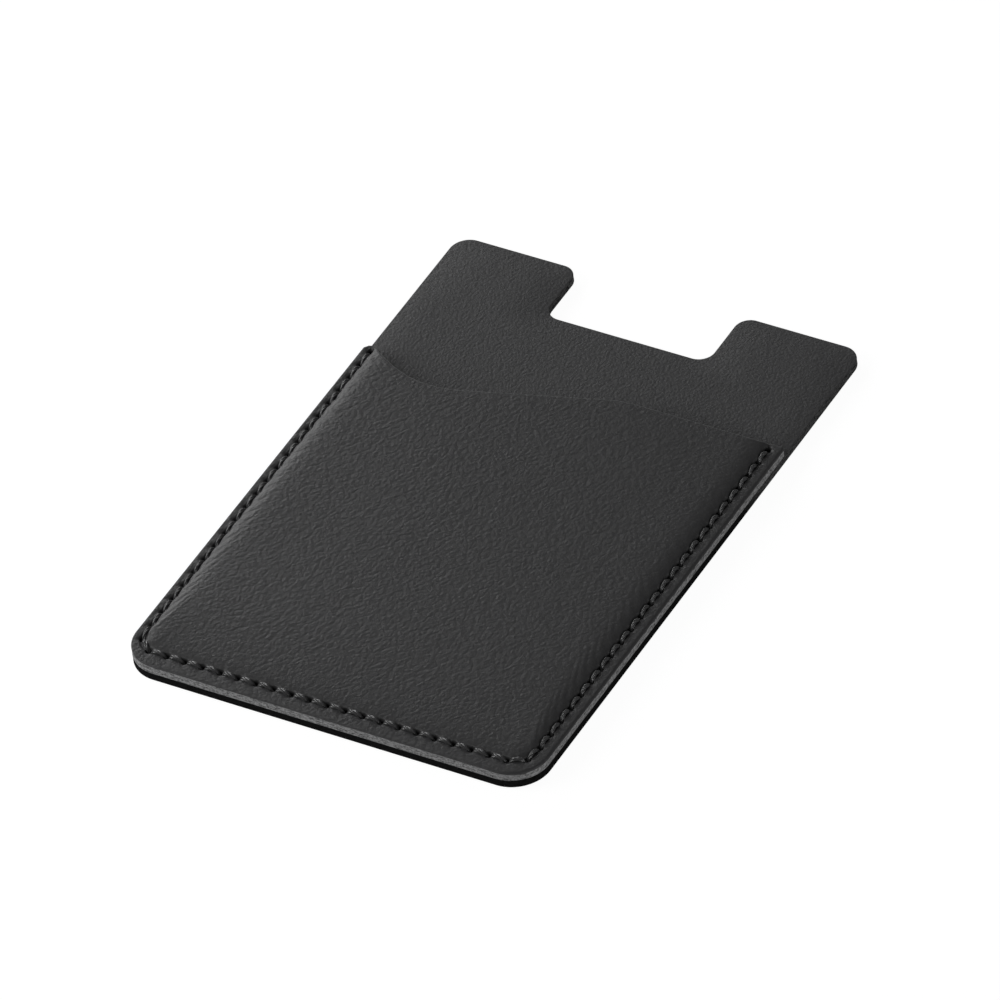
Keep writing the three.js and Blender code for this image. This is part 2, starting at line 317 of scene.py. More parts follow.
@dataclass(frozen=True)
class LeatherSkin(Surface):
    """The embossed face of a synthetic leather, with its coat.

    Attributes:
        colour: The coating's colour.
        roughness: How matt the coating is.
        pebble: The width of one pebble of the grain, in millimetres.
        pebble_depth: How much the pebbles stand out, from 0 to 1.
        crease_depth: How much the long creases of the grain stand out.
        crease_turn: The creases' direction from +X, in degrees.
        relief: The height of the grain in millimetres.
        sheen: The strength of the soft shine at a low angle.
        rim: The colour of the highlight painted along the lip's rounded rim.
        lint: The colour of the few specks of lint.
    """

    colour: tuple[float, float, float]
    roughness: float
    pebble: float
    pebble_depth: float
    crease_depth: float
    crease_turn: float
    relief: float
    sheen: float
    rim: tuple[float, float, float] = (0.3, 0.3, 0.3)
    lint: tuple[float, float, float] = (0.12, 0.12, 0.12)

    def make(self) -> bpy.types.Material:
        """Builds the material."""
        material, bench, place = self.start()
        pit = self.run(bench)[2]
        swirl = {"Vector": place, "Scale": 1.1, "Detail": 2.0}
        warp = bench.get("ShaderNodeTexNoise", None, swirl, output="Color")
        bent = bench.vector("ADD", place, bench.vector("SCALE", warp, scale=0.55))
        pebbles = 1 - bench.cells(bent, 1 / self.pebble)
        turn = (0.0, 0.0, math.radians(self.crease_turn))
        turned = bench.get(
            "ShaderNodeMapping",
            {"vector_type": "TEXTURE"},
            {"Vector": bent, "Rotation": turn, "Scale": (2.4, 0.62, 1.0)},
        )
        creases = bench.noise(turned, 1.7, 3.0, 0.55)
        fine = bench.noise(place, 7.0, 2.0, 0.6)
        broad = bench.noise(place, 0.07, 3.0, 0.5)
        cloudy = bench.noise(place, 0.32, 2.0, 0.5)
        grain = pebbles * self.pebble_depth + creases * self.crease_depth + fine * 0.35
        soft = bench.bump(broad + cloudy * 0.25, 0.12, 0.5)
        shade = 0.78 + broad * 0.18 + cloudy * 0.1 + pebbles * 0.12 + fine * 0.04
        # Painted shade: the skin's colour is taken almost to black inside the needle holes.
        hole_shade_mask = pit.ramp(0.12, 0.5)
        coat = bench.tint(shade * (1 - hole_shade_mask * 0.94), self.colour)
        # Painted highlight: the skin's colour is lightened to the rim colour along the lip's rounded rim.
        rim_highlighted = bench.colour(pit.ramp(-0.15, -0.85), coat, self.rim)
        lint = bench.cells(place, 0.33).ramp(0.095, 0.06)
        speck = lint * bench.noise(place, 0.9, 1.0).ramp(0.6, 0.66)
        self.finish(
            bench,
            {
                "Base Color": bench.colour(speck * 0.25, rim_highlighted, self.lint),
                "Roughness": self.roughness + (fine - 0.5) * 0.12 - (pebbles - 0.5) * 0.06 + hole_shade_mask * 0.3,
                "Specular IOR Level": 0.45,
                "Sheen Weight": self.sheen,
                "Sheen Roughness": 0.55,
                "Sheen Tint": (0.8, 0.8, 0.82, 1.0),
                "Normal": bench.bump(grain, self.relief, 1.0, soft),
            },
        )
        return material


@dataclass(frozen=True)
class FibreEdge(Surface):
    """The cut edge of a leather sheet, where the fibres of its backing show in layers.

    Attributes:
        pale: The colour of the fibres.
        dark: The colour of the coating, of the gaps between the fibres, and of the painted shade low along Y.
        skin_line: The height in millimetres above which the coat's dark line shows.
        shade_ends_y: The place along Y in millimetres below which the edge is darkened by painted shade.
        fibres_in_shade: How much the fibres show through that painted shade, from 0 to 1.
    """

    pale: tuple[float, float, float]
    dark: tuple[float, float, float]
    skin_line: float
    shade_ends_y: float
    fibres_in_shade: float

    def make(self) -> bpy.types.Material:
        """Builds the material."""
        material, bench, place = self.start()
        along, height, _ = self.run(bench)
        flow = bench.get("ShaderNodeCombineXYZ", None, {0: along, 1: height * 7.0})
        layers = bench.noise(flow, 0.9, 4.0, 0.62)
        tufts = bench.noise(place, 3.2, 3.0, 0.65)
        specks = bench.noise(place, 11.0, 1.0)
        # Painted shade: low along Y the edge's colour is taken to the dark colour, with only a share of its
        # fibres showing.
        split = bench.add("ShaderNodeSeparateXYZ", None, {0: place})
        upper = bench.out(split, 1).ramp(self.shade_ends_y - 4.0, self.shade_ends_y + 4.0)
        unshaded = self.fibres_in_shade + (1 - self.fibres_in_shade) * upper
        fibre = (layers * 0.6 + tufts * 0.4).ramp(0.38, 0.58)
        body = bench.colour(fibre, self.dark, self.pale)
        shaded_body = bench.colour(unshaded, self.dark, body)
        skin = (height + (tufts - 0.5) * 0.12).ramp(self.skin_line - 0.03, self.skin_line + 0.05)
        self.finish(
            bench,
            {
                "Base Color": bench.colour(skin, shaded_body, self.dark),
                "Roughness": 0.86 + (tufts - 0.5) * 0.2,
                "Specular IOR Level": 0.12,
                "Normal": bench.bump(layers + tufts * 0.7 + specks * 0.3, 0.09, 0.8),
            },
        )
        return material


@dataclass(frozen=True)
class FeltBacking(Surface):
    """The unwoven back of a synthetic leather.

    Attributes:
        colour: The felt's colour.
    """

    colour: tuple[float, float, float]

    def make(self) -> bpy.types.Material:
        """Builds the material."""
        material, bench, place = self.start()
        pit = self.run(bench)[2]
        stretched = bench.get("ShaderNodeMapping", None, {"Vector": place, "Scale": (1.0, 3.0, 1.0)})
        crossed = bench.get("ShaderNodeMapping", None, {"Vector": place, "Scale": (3.0, 1.0, 1.0)})
        fibres = bench.noise(stretched, 2.4, 4.0, 0.7) + bench.noise(crossed, 2.4, 4.0, 0.7)
        cloudy = bench.noise(place, 0.4, 2.0)
        # Painted shade: the felt's colour is darkened inside the needle holes of the back.
        tone = (0.55 + fibres * 0.35 + cloudy * 0.2) * (1 - pit.ramp(0.12, 0.5) * 0.9)
        self.finish(
            bench,
            {
                "Base Color": bench.tint(tone * 0.5, self.colour),
                "Roughness": 0.88 + (fibres - 1.0) * 0.1,
                "Sheen Weight": 0.25,
                "Normal": bench.bump(fibres, 0.07, 0.7),
            },
        )
        return material


@dataclass(frozen=True)
class TwistedThread(Surface):
    """Bonded polyester thread.

    Attributes:
        colour: The dyed colour.
        roughness: How matt the bond is.
    """

    colour: tuple[float, float, float]
    roughness: float

    def make(self) -> bpy.types.Material:
        """Builds the material."""
        material, bench, place = self.start()
        strands = bench.noise(place, 9.0, 3.0, 0.6)
        worn = bench.noise(place, 1.3, 2.0)
        tone = 0.35 + strands * 0.2 + worn * 0.1
        self.finish(
            bench,
            {
                "Base Color": bench.tint(tone, self.colour),
                "Roughness": self.roughness + (strands - 0.5) * 0.2,
                "Specular IOR Level": 1.0,
                "Coat Weight": 0.6,
                "Coat Roughness": 0.22,
                "Sheen Weight": 0.3,
                "Sheen Roughness": 0.4,
                "Normal": bench.bump(strands, 0.03, 0.6),
            },
        )
        return material


@dataclass(frozen=True)
class FoamPad(Surface):
    """Grey foam tape, with its open cells on the cut edge.

    Attributes:
        colour: The foam's colour.
    """

    colour: tuple[float, float, float]

    def make(self) -> bpy.types.Material:
        """Builds the material."""
        material, bench, place = self.start()
        cells = bench.cells(place, 6.0)
        cloudy = bench.noise(place, 0.5, 2.0)
        tone = 0.36 + cells * 0.2 + cloudy * 0.12
        self.finish(
            bench,
            {
                "Base Color": bench.tint(tone, self.colour),
                "Roughness": 0.6 + (cells - 0.4) * 0.2,
                "Normal": bench.bump(cells, 0.05, 0.8),
            },
        )
        return material


@dataclass(frozen=True)
class LinerPaper(Surface):
    """Release paper: smooth and waxy, with a faint fibre.

    Attributes:
        colour: The paper's colour.
    """

    colour: tuple[float, float, float]

    def make(self) -> bpy.types.Material:
        """Builds the material."""
        material, bench, place = self.start()
        fibre = bench.noise(place, 1.8, 5.0, 0.65)
        cloudy = bench.noise(place, 0.12, 3.0)
        tone = 0.42 + fibre * 0.08 + cloudy * 0.06
        self.finish(
            bench,
            {
                "Base Color": bench.tint(tone, self.colour),
                "Roughness": 0.38 + (fibre - 0.5) * 0.2,
                "Normal": bench.bump(fibre, 0.03, 0.35),
            },
        )
        return material


def add_object(name: str, data: bpy.types.ID) -> bpy.types.Object:
    """Adds an object with the given data to the scene, at the origin."""
    made = bpy.data.objects.new(name, data)
    bpy.context.scene.collection.objects.link(made)
    return made


class MeshDraft:
    """Points and faces of a piece on their way to a mesh, in millimetres."""

    def __init__(self) -> None:
        """Starts with nothing."""
        self.points: list[np.ndarray] = []
        self.marks: list[np.ndarray] = []
        self.faces: list[tuple[int, ...]] = []
        self.finishes: list[int] = []
        self.count = 0

    def add_points(self, points: np.ndarray, marks: np.ndarray) -> np.ndarray:
        """Adds points.

        Args:
            points: The places, one row of X, Y and Z each.
            marks: What is stored at each: distance along the edge, height in the sheet, and the depth
                in a hole, where shade is painted, or how much it carries the lip's painted rim highlight, as
                a negative number.

        Returns:
            The points' numbers.
        """
        self.points.append(np.asarray(points, float))
        self.marks.append(np.asarray(marks, float))
        numbers = np.arange(self.count, self.count + len(points))
        self.count += len(points)
        return numbers

    def join_rows(
        self, first: Sequence[int], second: Sequence[int], finish: Finish, closed: bool = False
    ) -> None:
        """Fills between two rows of points with four-sided faces.

        Args:
            first: The numbers of one row's points.
            second: The numbers of the other row's points, which lies to the left of the first.
            finish: The faces' finish.
            closed: True if the last points join the first ones.
        """
        count = len(first)
        for i in range(count if closed else count - 1):
            j = (i + 1) % count
            corners = (first[i], first[j], second[j], second[i])
            self.add_face(corners, finish)

    def add_face(self, corners: Iterable[int], finish: Finish) -> None:
        """Adds one face, unless its corners are the same point twice over."""
        ring = tuple(dict.fromkeys(int(c) for c in corners))
        if len(ring) > 2:
            self.faces.append(ring)
            self.finishes.append(finish.value)

    def add_flat(
        self, numbers: Sequence[int], triangles: Sequence[tuple[int, int, int]], finish: Finish, top: bool
    ) -> None:
        """Adds the triangles of a flat part.

        Args:
            numbers: The numbers of the points that the triangles count from 0.
            triangles: The triangles, anticlockwise in plan.
            finish: The faces' finish.
            top: True if they face up, False if they face down.
        """
        for a, b, c in triangles:
            corners = (numbers[a], numbers[b], numbers[c])
            self.add_face(corners if top else corners[::-1], finish)

    def in_plan(self, numbers: Sequence[int]) -> np.ndarray:
        """The X and Y of the points with the given numbers."""
        return np.concatenate(self.points)[numbers][:, :2]

    def to_object(
        self, name: str, materials: Sequence[bpy.types.Material], crease: float = 50.0
    ) -> bpy.types.Object:
        """Makes the object, smooth except at sharp edges.

        Args:
            name: The piece's name.
            materials: The materials in the order of Finish.
            crease: The angle in degrees from which an edge is sharp.

        Returns:
            The finished object at the origin.
        """
        mesh = bpy.data.meshes.new(name)
        points = np.concatenate(self.points) * MM
        mesh.from_pydata(points.tolist(), [], self.faces)
        for material in materials:
            mesh.materials.append(material)
        mesh.polygons.foreach_set("material_index", self.finishes)
        mesh.polygons.foreach_set("use_smooth", [True] * len(self.faces))
        stored = mesh.attributes.new(RUN, "FLOAT_VECTOR", "POINT")
        stored.data.foreach_set("vector", np.concatenate(self.marks).astype(np.float32).ravel())
        mesh.validate()
        mesh.update()
        mesh.set_sharp_from_angle(angle=math.radians(crease))
        return add_object(name, mesh)


def smooth_step(value: np.ndarray, start: float, end: float) -> np.ndarray:
    """A smooth step from 0 at start to 1 at end, for an array."""
    share = np.clip((value - start) / (end - start), 0.0, 1.0)
    return share * share * (3 - 2 * share)


def quarter_round(share: np.ndarray) -> np.ndarray:
    """The height of a quarter circle from 0 to 1 as the share goes from 0 to 1."""
    return np.sqrt(np.clip(1 - (1 - np.clip(share, 0.0, 1.0)) ** 2, 0.0, 1.0))


def shoulder_rise(inward: np.ndarray) -> np.ndarray:
    """The moulded shoulder: steep at its foot, then easing on to the flat over the cards.

    Args:
        inward: Distances in from the shoulder's foot, in millimetres.

    Returns:
        The rise from 0 to 1.
    """
    return 0.62 * quarter_round(inward / 2.6) + 0.38 * quarter_round(inward / 5.0)


def fill_outline(
    outline: np.ndarray, inside: np.ndarray, rings: Sequence[np.ndarray] = ()
) -> tuple[np.ndarray, list[tuple[int, int, int]]]:
    """Triangulates the inside of an outline.

    Args:
        outline: The outline's points in plan, in order.
        inside: More points in plan, strictly inside.
        rings: Closed rings of points in plan that the triangles keep to.

    Returns:
        The points after the outline's, and the triangles, with the outline's points numbered first.
    """
    points = np.concatenate([outline, inside, *rings])
    edges: list[tuple[int, int]] = []
    start = len(outline) + len(inside)
    for ring in rings:
        edges += [(start + i, start + (i + 1) % len(ring)) for i in range(len(ring))]
        start += len(ring)
    spots = [Vector(p) for p in points.tolist()]
    found = delaunay_2d_cdt(spots, edges, [list(range(len(outline)))], 1, 1e-6)
    source = [numbers[0] for numbers in found[3]]
    triangles = []
    for face in found[2]:
        a, b, c = (source[i] for i in face)
        turn = np.cross(points[b] - points[a], points[c] - points[a])
        triangles.append((a, b, c) if turn > 0 else (a, c, b))
    return points[len(outline) :], triangles


@dataclass(frozen=True)
class HolderPlan:
    """The sizes that the pieces share, in millimetres.

    Attributes:
        width: The holder's width.
        length: The holder's length.
        corner: The radius of the lower corners.
        ear_corner: The radius of the ears' outer corners.
        notch_width: The thumb notch's width.
        notch_depth: The thumb notch's depth.
        notch_corner: The radius of the notch's corners.
        base_bottom: The height of the base sheet's underside.
        base_top: The height of the base sheet's upper side.
        pocket_sheet: The pocket sheet's thickness.
        room: The height of the moulded room for the cards.
        seam_left: The seam's distance from the left edge.
        seam_right: The seam's distance from the right edge.
        seam_bottom: The seam's distance from the lower edge.
        seam_corner: The radius of the seam's corners.
        left_setback: The distance of the seam's first hole from the lip.
        right_setback: The distance of the seam's last hole from the lip.
        pitch: The wanted length of a stitch.
        slip_left: How far the holes at the lower left corner lie beyond their even places.
        slip_right: How far the holes at the lower right corner lie beyond them.
        lip_top: The lip's height over the lower edge at its dip.
        lip_dip: The dip's distance from the left edge.
        lip_fall: How far the lip falls from its left end to the dip.
        lip_slope: The distance over which it falls.
        lip_rise: How far it rises from the dip to the crest.
        lip_reach: The distance from the dip to the crest.
        lip_sewn: How much higher its sewn right end lies than the crest.
    """

    width: float = 62.0
    length: float = 92.0
    corner: float = 5.2
    ear_corner: float = 2.8
    notch_width: float = 25.0
    notch_depth: float = 10.0
    notch_corner: float = 2.2
    base_bottom: float = 0.5
    base_top: float = 1.75
    pocket_sheet: float = 1.3
    room: float = 0.95
    seam_left: float = 1.35
    seam_right: float = 1.9
    seam_bottom: float = 2.5
    seam_corner: float = 2.6
    left_setback: float = 0.98
    right_setback: float = 1.35
    pitch: float = 2.72
    slip_left: float = 1.25
    slip_right: float = 0.5
    lip_top: float = 61.8
    lip_dip: float = 12.6
    lip_fall: float = 4.8
    lip_slope: float = 11.6
    lip_rise: float = 7.1
    lip_reach: float = 27.8
    lip_sewn: float = 0.9

    def lip(self, x: float) -> float:
        """The lip's place along Y.

        Args:
            x: A place along X.

        Returns:
            The fall from the left end to the dip, the rise to the crest, and the higher right end.
        """
        left = -self.width / 2
        dip = left + self.lip_dip
        fall = self.lip_fall * np.clip((dip - x) / self.lip_slope, 0.0, 1.0) ** 2
        share = np.clip((x - dip) / self.lip_reach, 0.0, 1.0)
        ease = 0.17
        bend = 1 / (2 * ease * (1 - ease))
        rise = bend * ease * (2 * share - ease)
        if share < ease:
            rise = bend * share**2
        if share > 1 - ease:
            rise = 1 - bend * (1 - share) ** 2
        foot = self.width / 2 - self.seam_right - 0.25
        sewn = self.lip_sewn * (1 - shoulder_rise(np.float64(foot - x)))
        corner = 0.0
        for inset, radius in ((x - left, 1.0), (-left - x, 0.4)):
            gap = max(radius - inset, 0.0)
            corner += radius - math.sqrt(max(radius * radius - gap * gap, 0.0))
        return float(-self.length / 2 + self.lip_top + fall + self.lip_rise * rise + sewn - corner)

    def pieces(self) -> np.ndarray:
        """The lengths of the seam line's parts, out to the lip at both ends."""
        left = -self.width / 2 + self.seam_left
        right = self.width / 2 - self.seam_right
        low = -self.length / 2 + self.seam_bottom + self.seam_corner
        turn = self.seam_corner * math.pi / 2
        across = right - left - 2 * self.seam_corner
        return np.array([self.lip(left) - low, turn, across, turn, self.lip(right) - low])

    def hole_places(self) -> np.ndarray:
        """The holes' distances along the seam line, from the lip's left end."""
        total = float(self.pieces().sum())
        run = total - self.left_setback - self.right_setback
        count = round(run / self.pitch)
        even = self.left_setback + run * np.arange(count + 1) / count
        ends = np.cumsum(self.pieces())
        slips = [0.0, self.slip_left, self.slip_right, 0.0]
        return even + np.interp(even, [0.0, ends[1], ends[3], total], slips)

    def line(self, places: np.ndarray, left: float, bottom: float, right: float, corner: float) -> np.ndarray:
        """A line round the pocket at its own distances from the edges.

        Args:
            places: Distances along the seam line, which say where the points go on this line.
            left: The line's distance from the left edge.
            bottom: The line's distance from the lower edge.
            right: The line's distance from the right edge.
            corner: The radius of the line's corners.

        Returns:
            One row of X and Y for each place.
        """
        x0, x1 = -self.width / 2 + left, self.width / 2 - right
        y0 = -self.length / 2 + bottom
        ends = np.concatenate([[0.0], np.cumsum(self.pieces())])
        found = np.empty((len(places), 2))
        for i, place in enumerate(places):
            part = int(np.clip(np.searchsorted(ends, place, side="right") - 1, 0, 4))
            share = (place - ends[part]) / (ends[part + 1] - ends[part])
            if part == 0:
                found[i] = x0, self.lip(x0) * (1 - share) + (y0 + corner) * share
            elif part == 1:
                angle = math.pi * (1 + share / 2)
                found[i] = x0 + corner * (1 + math.cos(angle)), y0 + corner * (1 + math.sin(angle))
            elif part == 2:
                found[i] = (x0 + corner) * (1 - share) + (x1 - corner) * share, y0
            elif part == 3:
                angle = math.pi * (1.5 + share / 2)
                found[i] = x1 - corner * (1 - math.cos(angle)), y0 + corner * (1 + math.sin(angle))
            else:
                found[i] = x1, (y0 + corner) * (1 - share) + self.lip(x1) * share
        return found

    def seam(self, places: np.ndarray) -> np.ndarray:
        """Points on the seam line."""
        return self.line(places, self.seam_left, self.seam_bottom, self.seam_right, self.seam_corner)

    def panel_outline(self, inset: float) -> tuple[np.ndarray, np.ndarray]:
        """The base sheet's outline with its thumb notch.

        Args:
            inset: How far inside the true outline it runs.

        Returns:
            The outline's points in plan, anticlockwise, and their distances along it.
        """
        top, side = self.length / 2, self.notch_width / 2
        floor = top - self.notch_depth
        corner, ear, inner = self.corner, self.ear_corner, self.notch_corner
        half = self.width / 2
        arcs = [
            (-half + corner, -top + corner, corner - inset, 180.0, 270.0),
            (half - corner, -top + corner, corner - inset, 270.0, 360.0),
            (half - ear, top - ear, ear - inset, 0.0, 90.0),
            (side + inner, top - inner, inner - inset, 90.0, 180.0),
            (side - inner, floor + inner, inner + inset, 0.0, -90.0),
            (inner - side, floor + inner, inner + inset, -90.0, -180.0),
            (-side - inner, top - inner, inner - inset, 0.0, 90.0),
            (-half + ear, top - ear, ear - inset, 90.0, 180.0),
        ]
        points: list[tuple[float, float]] = []
        for k, (x, y, radius, start, end) in enumerate(arcs):
            angles = np.radians(np.linspace(start, end, 17))
            arc = [(x + radius * math.cos(a), y + radius * math.sin(a)) for a in angles]
            after = arcs[(k + 1) % len(arcs)]
            first = math.radians(after[3])
            target = (after[0] + after[2] * math.cos(first), after[1] + after[2] * math.sin(first))
            points += arc
            steps = max(2, round(math.dist(arc[-1], target) / 1.5))
            (x0, y0), (x1, y1) = arc[-1], target
            points += [(x0 + (x1 - x0) * i / steps, y0 + (y1 - y0) * i / steps) for i in range(1, steps)]
        outline = np.array(points)
        steps_along = np.linalg.norm(np.diff(outline, axis=0), axis=1)
        return outline, np.concatenate([[0.0], np.cumsum(steps_along)])


@dataclass
class PocketPanel:
    """The upper sheet, moulded over the cards and pressed down along the seam.

    Attributes:
        plan: The shared sizes.
        groove: The depth of the pressed channel under the stitches.
        foot: The distance from the seam to the foot of the moulded shoulder.
        scallop: How far the shoulder's foot swings out between the holes.
        bite: How far the foot gives way beside the one irregular stitch.
        hole: The radius of a needle hole.
        pit: The depth of a needle hole in the skin.
        dimple: The depth of the dimple that the thread pulls beside a hole.
        dimple_offset: The dimple's distance from the hole, towards the edge.
        dimple_size: The dimple's reach along the seam and across it.
        lip_roll: The radius of the lip's rounded rim.
        edge_roll: The radius of the cut edge's rounded rim along the bottom.
        curl: How much larger that radius is on the right side.
        draft: The mesh on its way.
    """

    plan: HolderPlan
    groove: float = 0.16
    foot: float = 0.24
    scallop: float = 0.09
    bite: float = 0.26
    hole: float = 0.45
    pit: float = 1.1
    dimple: float = 0.14
    dimple_offset: float = 0.42
    dimple_size: tuple[float, float] = (0.46, 0.32)
    lip_roll: float = 0.3
    edge_roll: float = 0.16
    curl: float = 0.2
    draft: MeshDraft = field(default_factory=MeshDraft)

    def column_places(self) -> np.ndarray:
        """Places along the seam, close together at the holes and at the two ends."""
        holes = self.plan.hole_places()
        total = float(self.plan.pieces().sum())
        near = np.array([0.0, 0.09, 0.18, 0.27, 0.36, 0.46, 0.6, 0.8, 1.06]) / self.plan.pitch
        within = np.concatenate([near, 1 - near[:0:-1]])
        rim = np.array([0.0, 0.03, 0.07, 0.12, 0.17, 0.22, 0.27, 0.33, 0.45])
        start = np.concatenate([rim, holes[0] - np.array([0.44, 0.36, 0.27, 0.18, 0.09])])
        end = total - rim[::-1]
        last = holes[-1] + np.array([0.0, 0.09, 0.18, 0.27, 0.36, 0.48, 0.65])
        between = [hole + within * (after - hole) for hole, after in zip(holes, holes[1:])]
        return np.concatenate([start, *between, last, end])

    def skin_rise(self, inward: np.ndarray, offset: np.ndarray, places: np.ndarray) -> np.ndarray:
        """The moulded shoulder: steep at the two sides and flat along the bottom.

        Args:
            inward: Distances in from the shoulder's foot.
            offset: Distances in from the seam line.
            places: Distances along the seam.

        Returns:
            The rise from 0 to 1.
        """
        ends = np.cumsum(self.plan.pieces())
        begun = smooth_step(places, ends[0] - 2.0, ends[1] + 1.0)
        low = begun * (1 - smooth_step(places, ends[2] - 1.0, ends[3] + 2.0))
        share = np.clip((offset - self.foot) / 4.6, 0.0, 1.0)
        gentle = 1 - (1 - share) ** 2.2
        return shoulder_rise(inward) * (1 - low) + gentle * low

    def dents(self, points: np.ndarray) -> np.ndarray:
        """Slow waves of the flat over the cards, as heights under its level."""
        x, y = points[:, 0], points[:, 1]
        waves = np.sin(0.21 * x + 0.13 * y + 0.6) * np.sin(0.09 * y - 0.05 * x + 1.1)
        return 0.022 + 0.018 * waves

    def pits(self, points: np.ndarray) -> tuple[np.ndarray, np.ndarray]:
        """The needle holes and the dimples that the thread pulls round them.

        Args:
            points: Places in plan.

        Returns:
            The depth of the skin at each place, and its share of a hole's full depth.
        """
        places = self.plan.hole_places()
        holes = self.plan.seam(places)
        ahead = self.plan.seam(places + 0.05) - self.plan.seam(places - 0.05)
        ahead /= np.linalg.norm(ahead, axis=1)[:, None]
        outward = np.stack([ahead[:, 1], -ahead[:, 0]], axis=1)
        depth = np.zeros(len(points))
        share = np.zeros(len(points))
        along, across = self.dimple_size
        for hole, way, out in zip(holes, ahead, outward):
            near = np.flatnonzero(np.abs(points - hole).max(axis=1) < 2.2)
            if not len(near):
                continue
            offset = points[near] - hole
            far = np.hypot(offset @ way / 1.2, offset @ out)
            within = 1 - smooth_step(far, self.hole - 0.13, self.hole + 0.05)
            tail = offset - out * self.dimple_offset
            dimple = self.dimple * np.exp(-((tail @ way / along) ** 2) - (tail @ out / across) ** 2)
            depth[near] += self.pit * within + dimple * (1 - within)
            share[near] = np.maximum(share[near], within)
        return depth, share

    def skin_height(self, points: np.ndarray, offset: np.ndarray, places: np.ndarray) -> np.ndarray:
        """The skin's height over the underside of the sewn edge, without the holes.

        Args:
            points: Places in plan.
            offset: Distances in from the seam line.
            places: Distances along the seam.

        Returns:
            The heights.
        """
        sheet = self.plan.pocket_sheet
        holes = self.plan.hole_places()
        swing = np.cos(2 * math.pi * np.interp(places, holes, np.arange(len(holes))))
        foot = self.foot + self.scallop * swing
        slip = holes[3] + 0.62 * self.plan.pitch
        foot = foot + self.bite * np.exp(-(((places - slip) / 0.42) ** 2))
        total = float(self.plan.pieces().sum())
        begun = smooth_step(places, 0.2, 0.85) * (1 - smooth_step(places, total - 1.2, total - 0.3))
        outer = smooth_step(offset, -0.42, -0.2)
        pressed = self.groove * begun * outer * (1 - smooth_step(offset - foot, -0.04, 0.34))
        rise = self.skin_rise(offset - foot, offset, places)
        return sheet - pressed + self.plan.room * rise - self.dents(points) * rise

    def add_row(
        self, flat: np.ndarray, height: np.ndarray, along: np.ndarray, depth: np.ndarray
    ) -> np.ndarray:
        """Adds points of the sheet.

        Args:
            flat: Their places in plan.
            height: Their heights over the underside of the sewn edge.
            along: What is stored as their distances along the edge.
            depth: How far down a hole they lie, where shade is painted, or how much they carry the lip's
                painted rim highlight, as a negative.

        Returns:
            The points' numbers.
        """
        marks = np.column_stack([along, height, depth])
        return self.draft.add_points(np.column_stack([flat, self.plan.base_top + height]), marks)

    def edge_row(self, places: np.ndarray, inset: np.ndarray, height: np.ndarray) -> np.ndarray:
        """Adds one row of the cut edge or of its rounded rim.

        Args:
            places: The columns' places along the seam.
            inset: How far inside the sheet's outline each point lies.
            height: The points' heights.

        Returns:
            The points' numbers.
        """
        reach = 0.5
        flat = self.plan.line(places, 0.0, 0.0, 0.0, self.plan.corner)
        inner = self.plan.line(places, reach, reach, reach, self.plan.corner - reach)
        moved = flat + (inner - flat) * (inset / reach)[:, None]
        return self.add_row(moved, height, places, np.zeros(len(places)))

    def beside_seam(self, places: np.ndarray, offset: float) -> np.ndarray:
        """A line beside the seam, which draws in faster along the bottom.

        Args:
            places: The columns' places along the seam.
            offset: The line's distance in from the seam.

        Returns:
            Its points in plan.
        """
        plan = self.plan
        stretch = 1 + 1.7 * float(smooth_step(np.float64(offset), 0.3, 3.0))
        seam = np.array([plan.seam_left, plan.seam_bottom, plan.seam_right])
        insets = seam + offset * np.array([1.0, stretch, 1.0])
        return plan.line(places, *insets, plan.seam_corner + 0.9 * max(-offset, 0.0))

    def skin_row(self, places: np.ndarray, flat: np.ndarray, offset: float) -> np.ndarray:
        """Adds one row of the skin.

        Args:
            places: The columns' places along the seam.
            flat: The row's points in plan.
            offset: Their distance in from the seam.

        Returns:
            The points' numbers.
        """
        sunk, hole = self.pits(flat)
        height = self.skin_height(flat, np.full(len(places), offset), places) - sunk - self.lip_drop(flat)
        return self.add_row(flat, height, places, np.where(hole > 0, hole, -self.rim_highlight_share(flat)))

    def margin_row(self, places: np.ndarray, share: float) -> np.ndarray:
        """Adds one row of the skin in the margin.

        Args:
            places: The columns' places along the seam.
            share: How far it lies from the rim towards the seam, from 0 to 1.

        Returns:
            The points' numbers.
        """
        plan = self.plan
        rim = 0.5
        seam = np.array([plan.seam_left, plan.seam_bottom, plan.seam_right])
        insets = np.maximum(rim + (seam - 0.9 - rim) * share, 0.4 + 0.05 * share)
        corner = plan.corner - rim - share * (plan.corner - rim - plan.seam_corner) * 0.6
        return self.skin_row(places, plan.line(places, *insets, corner), -0.95)

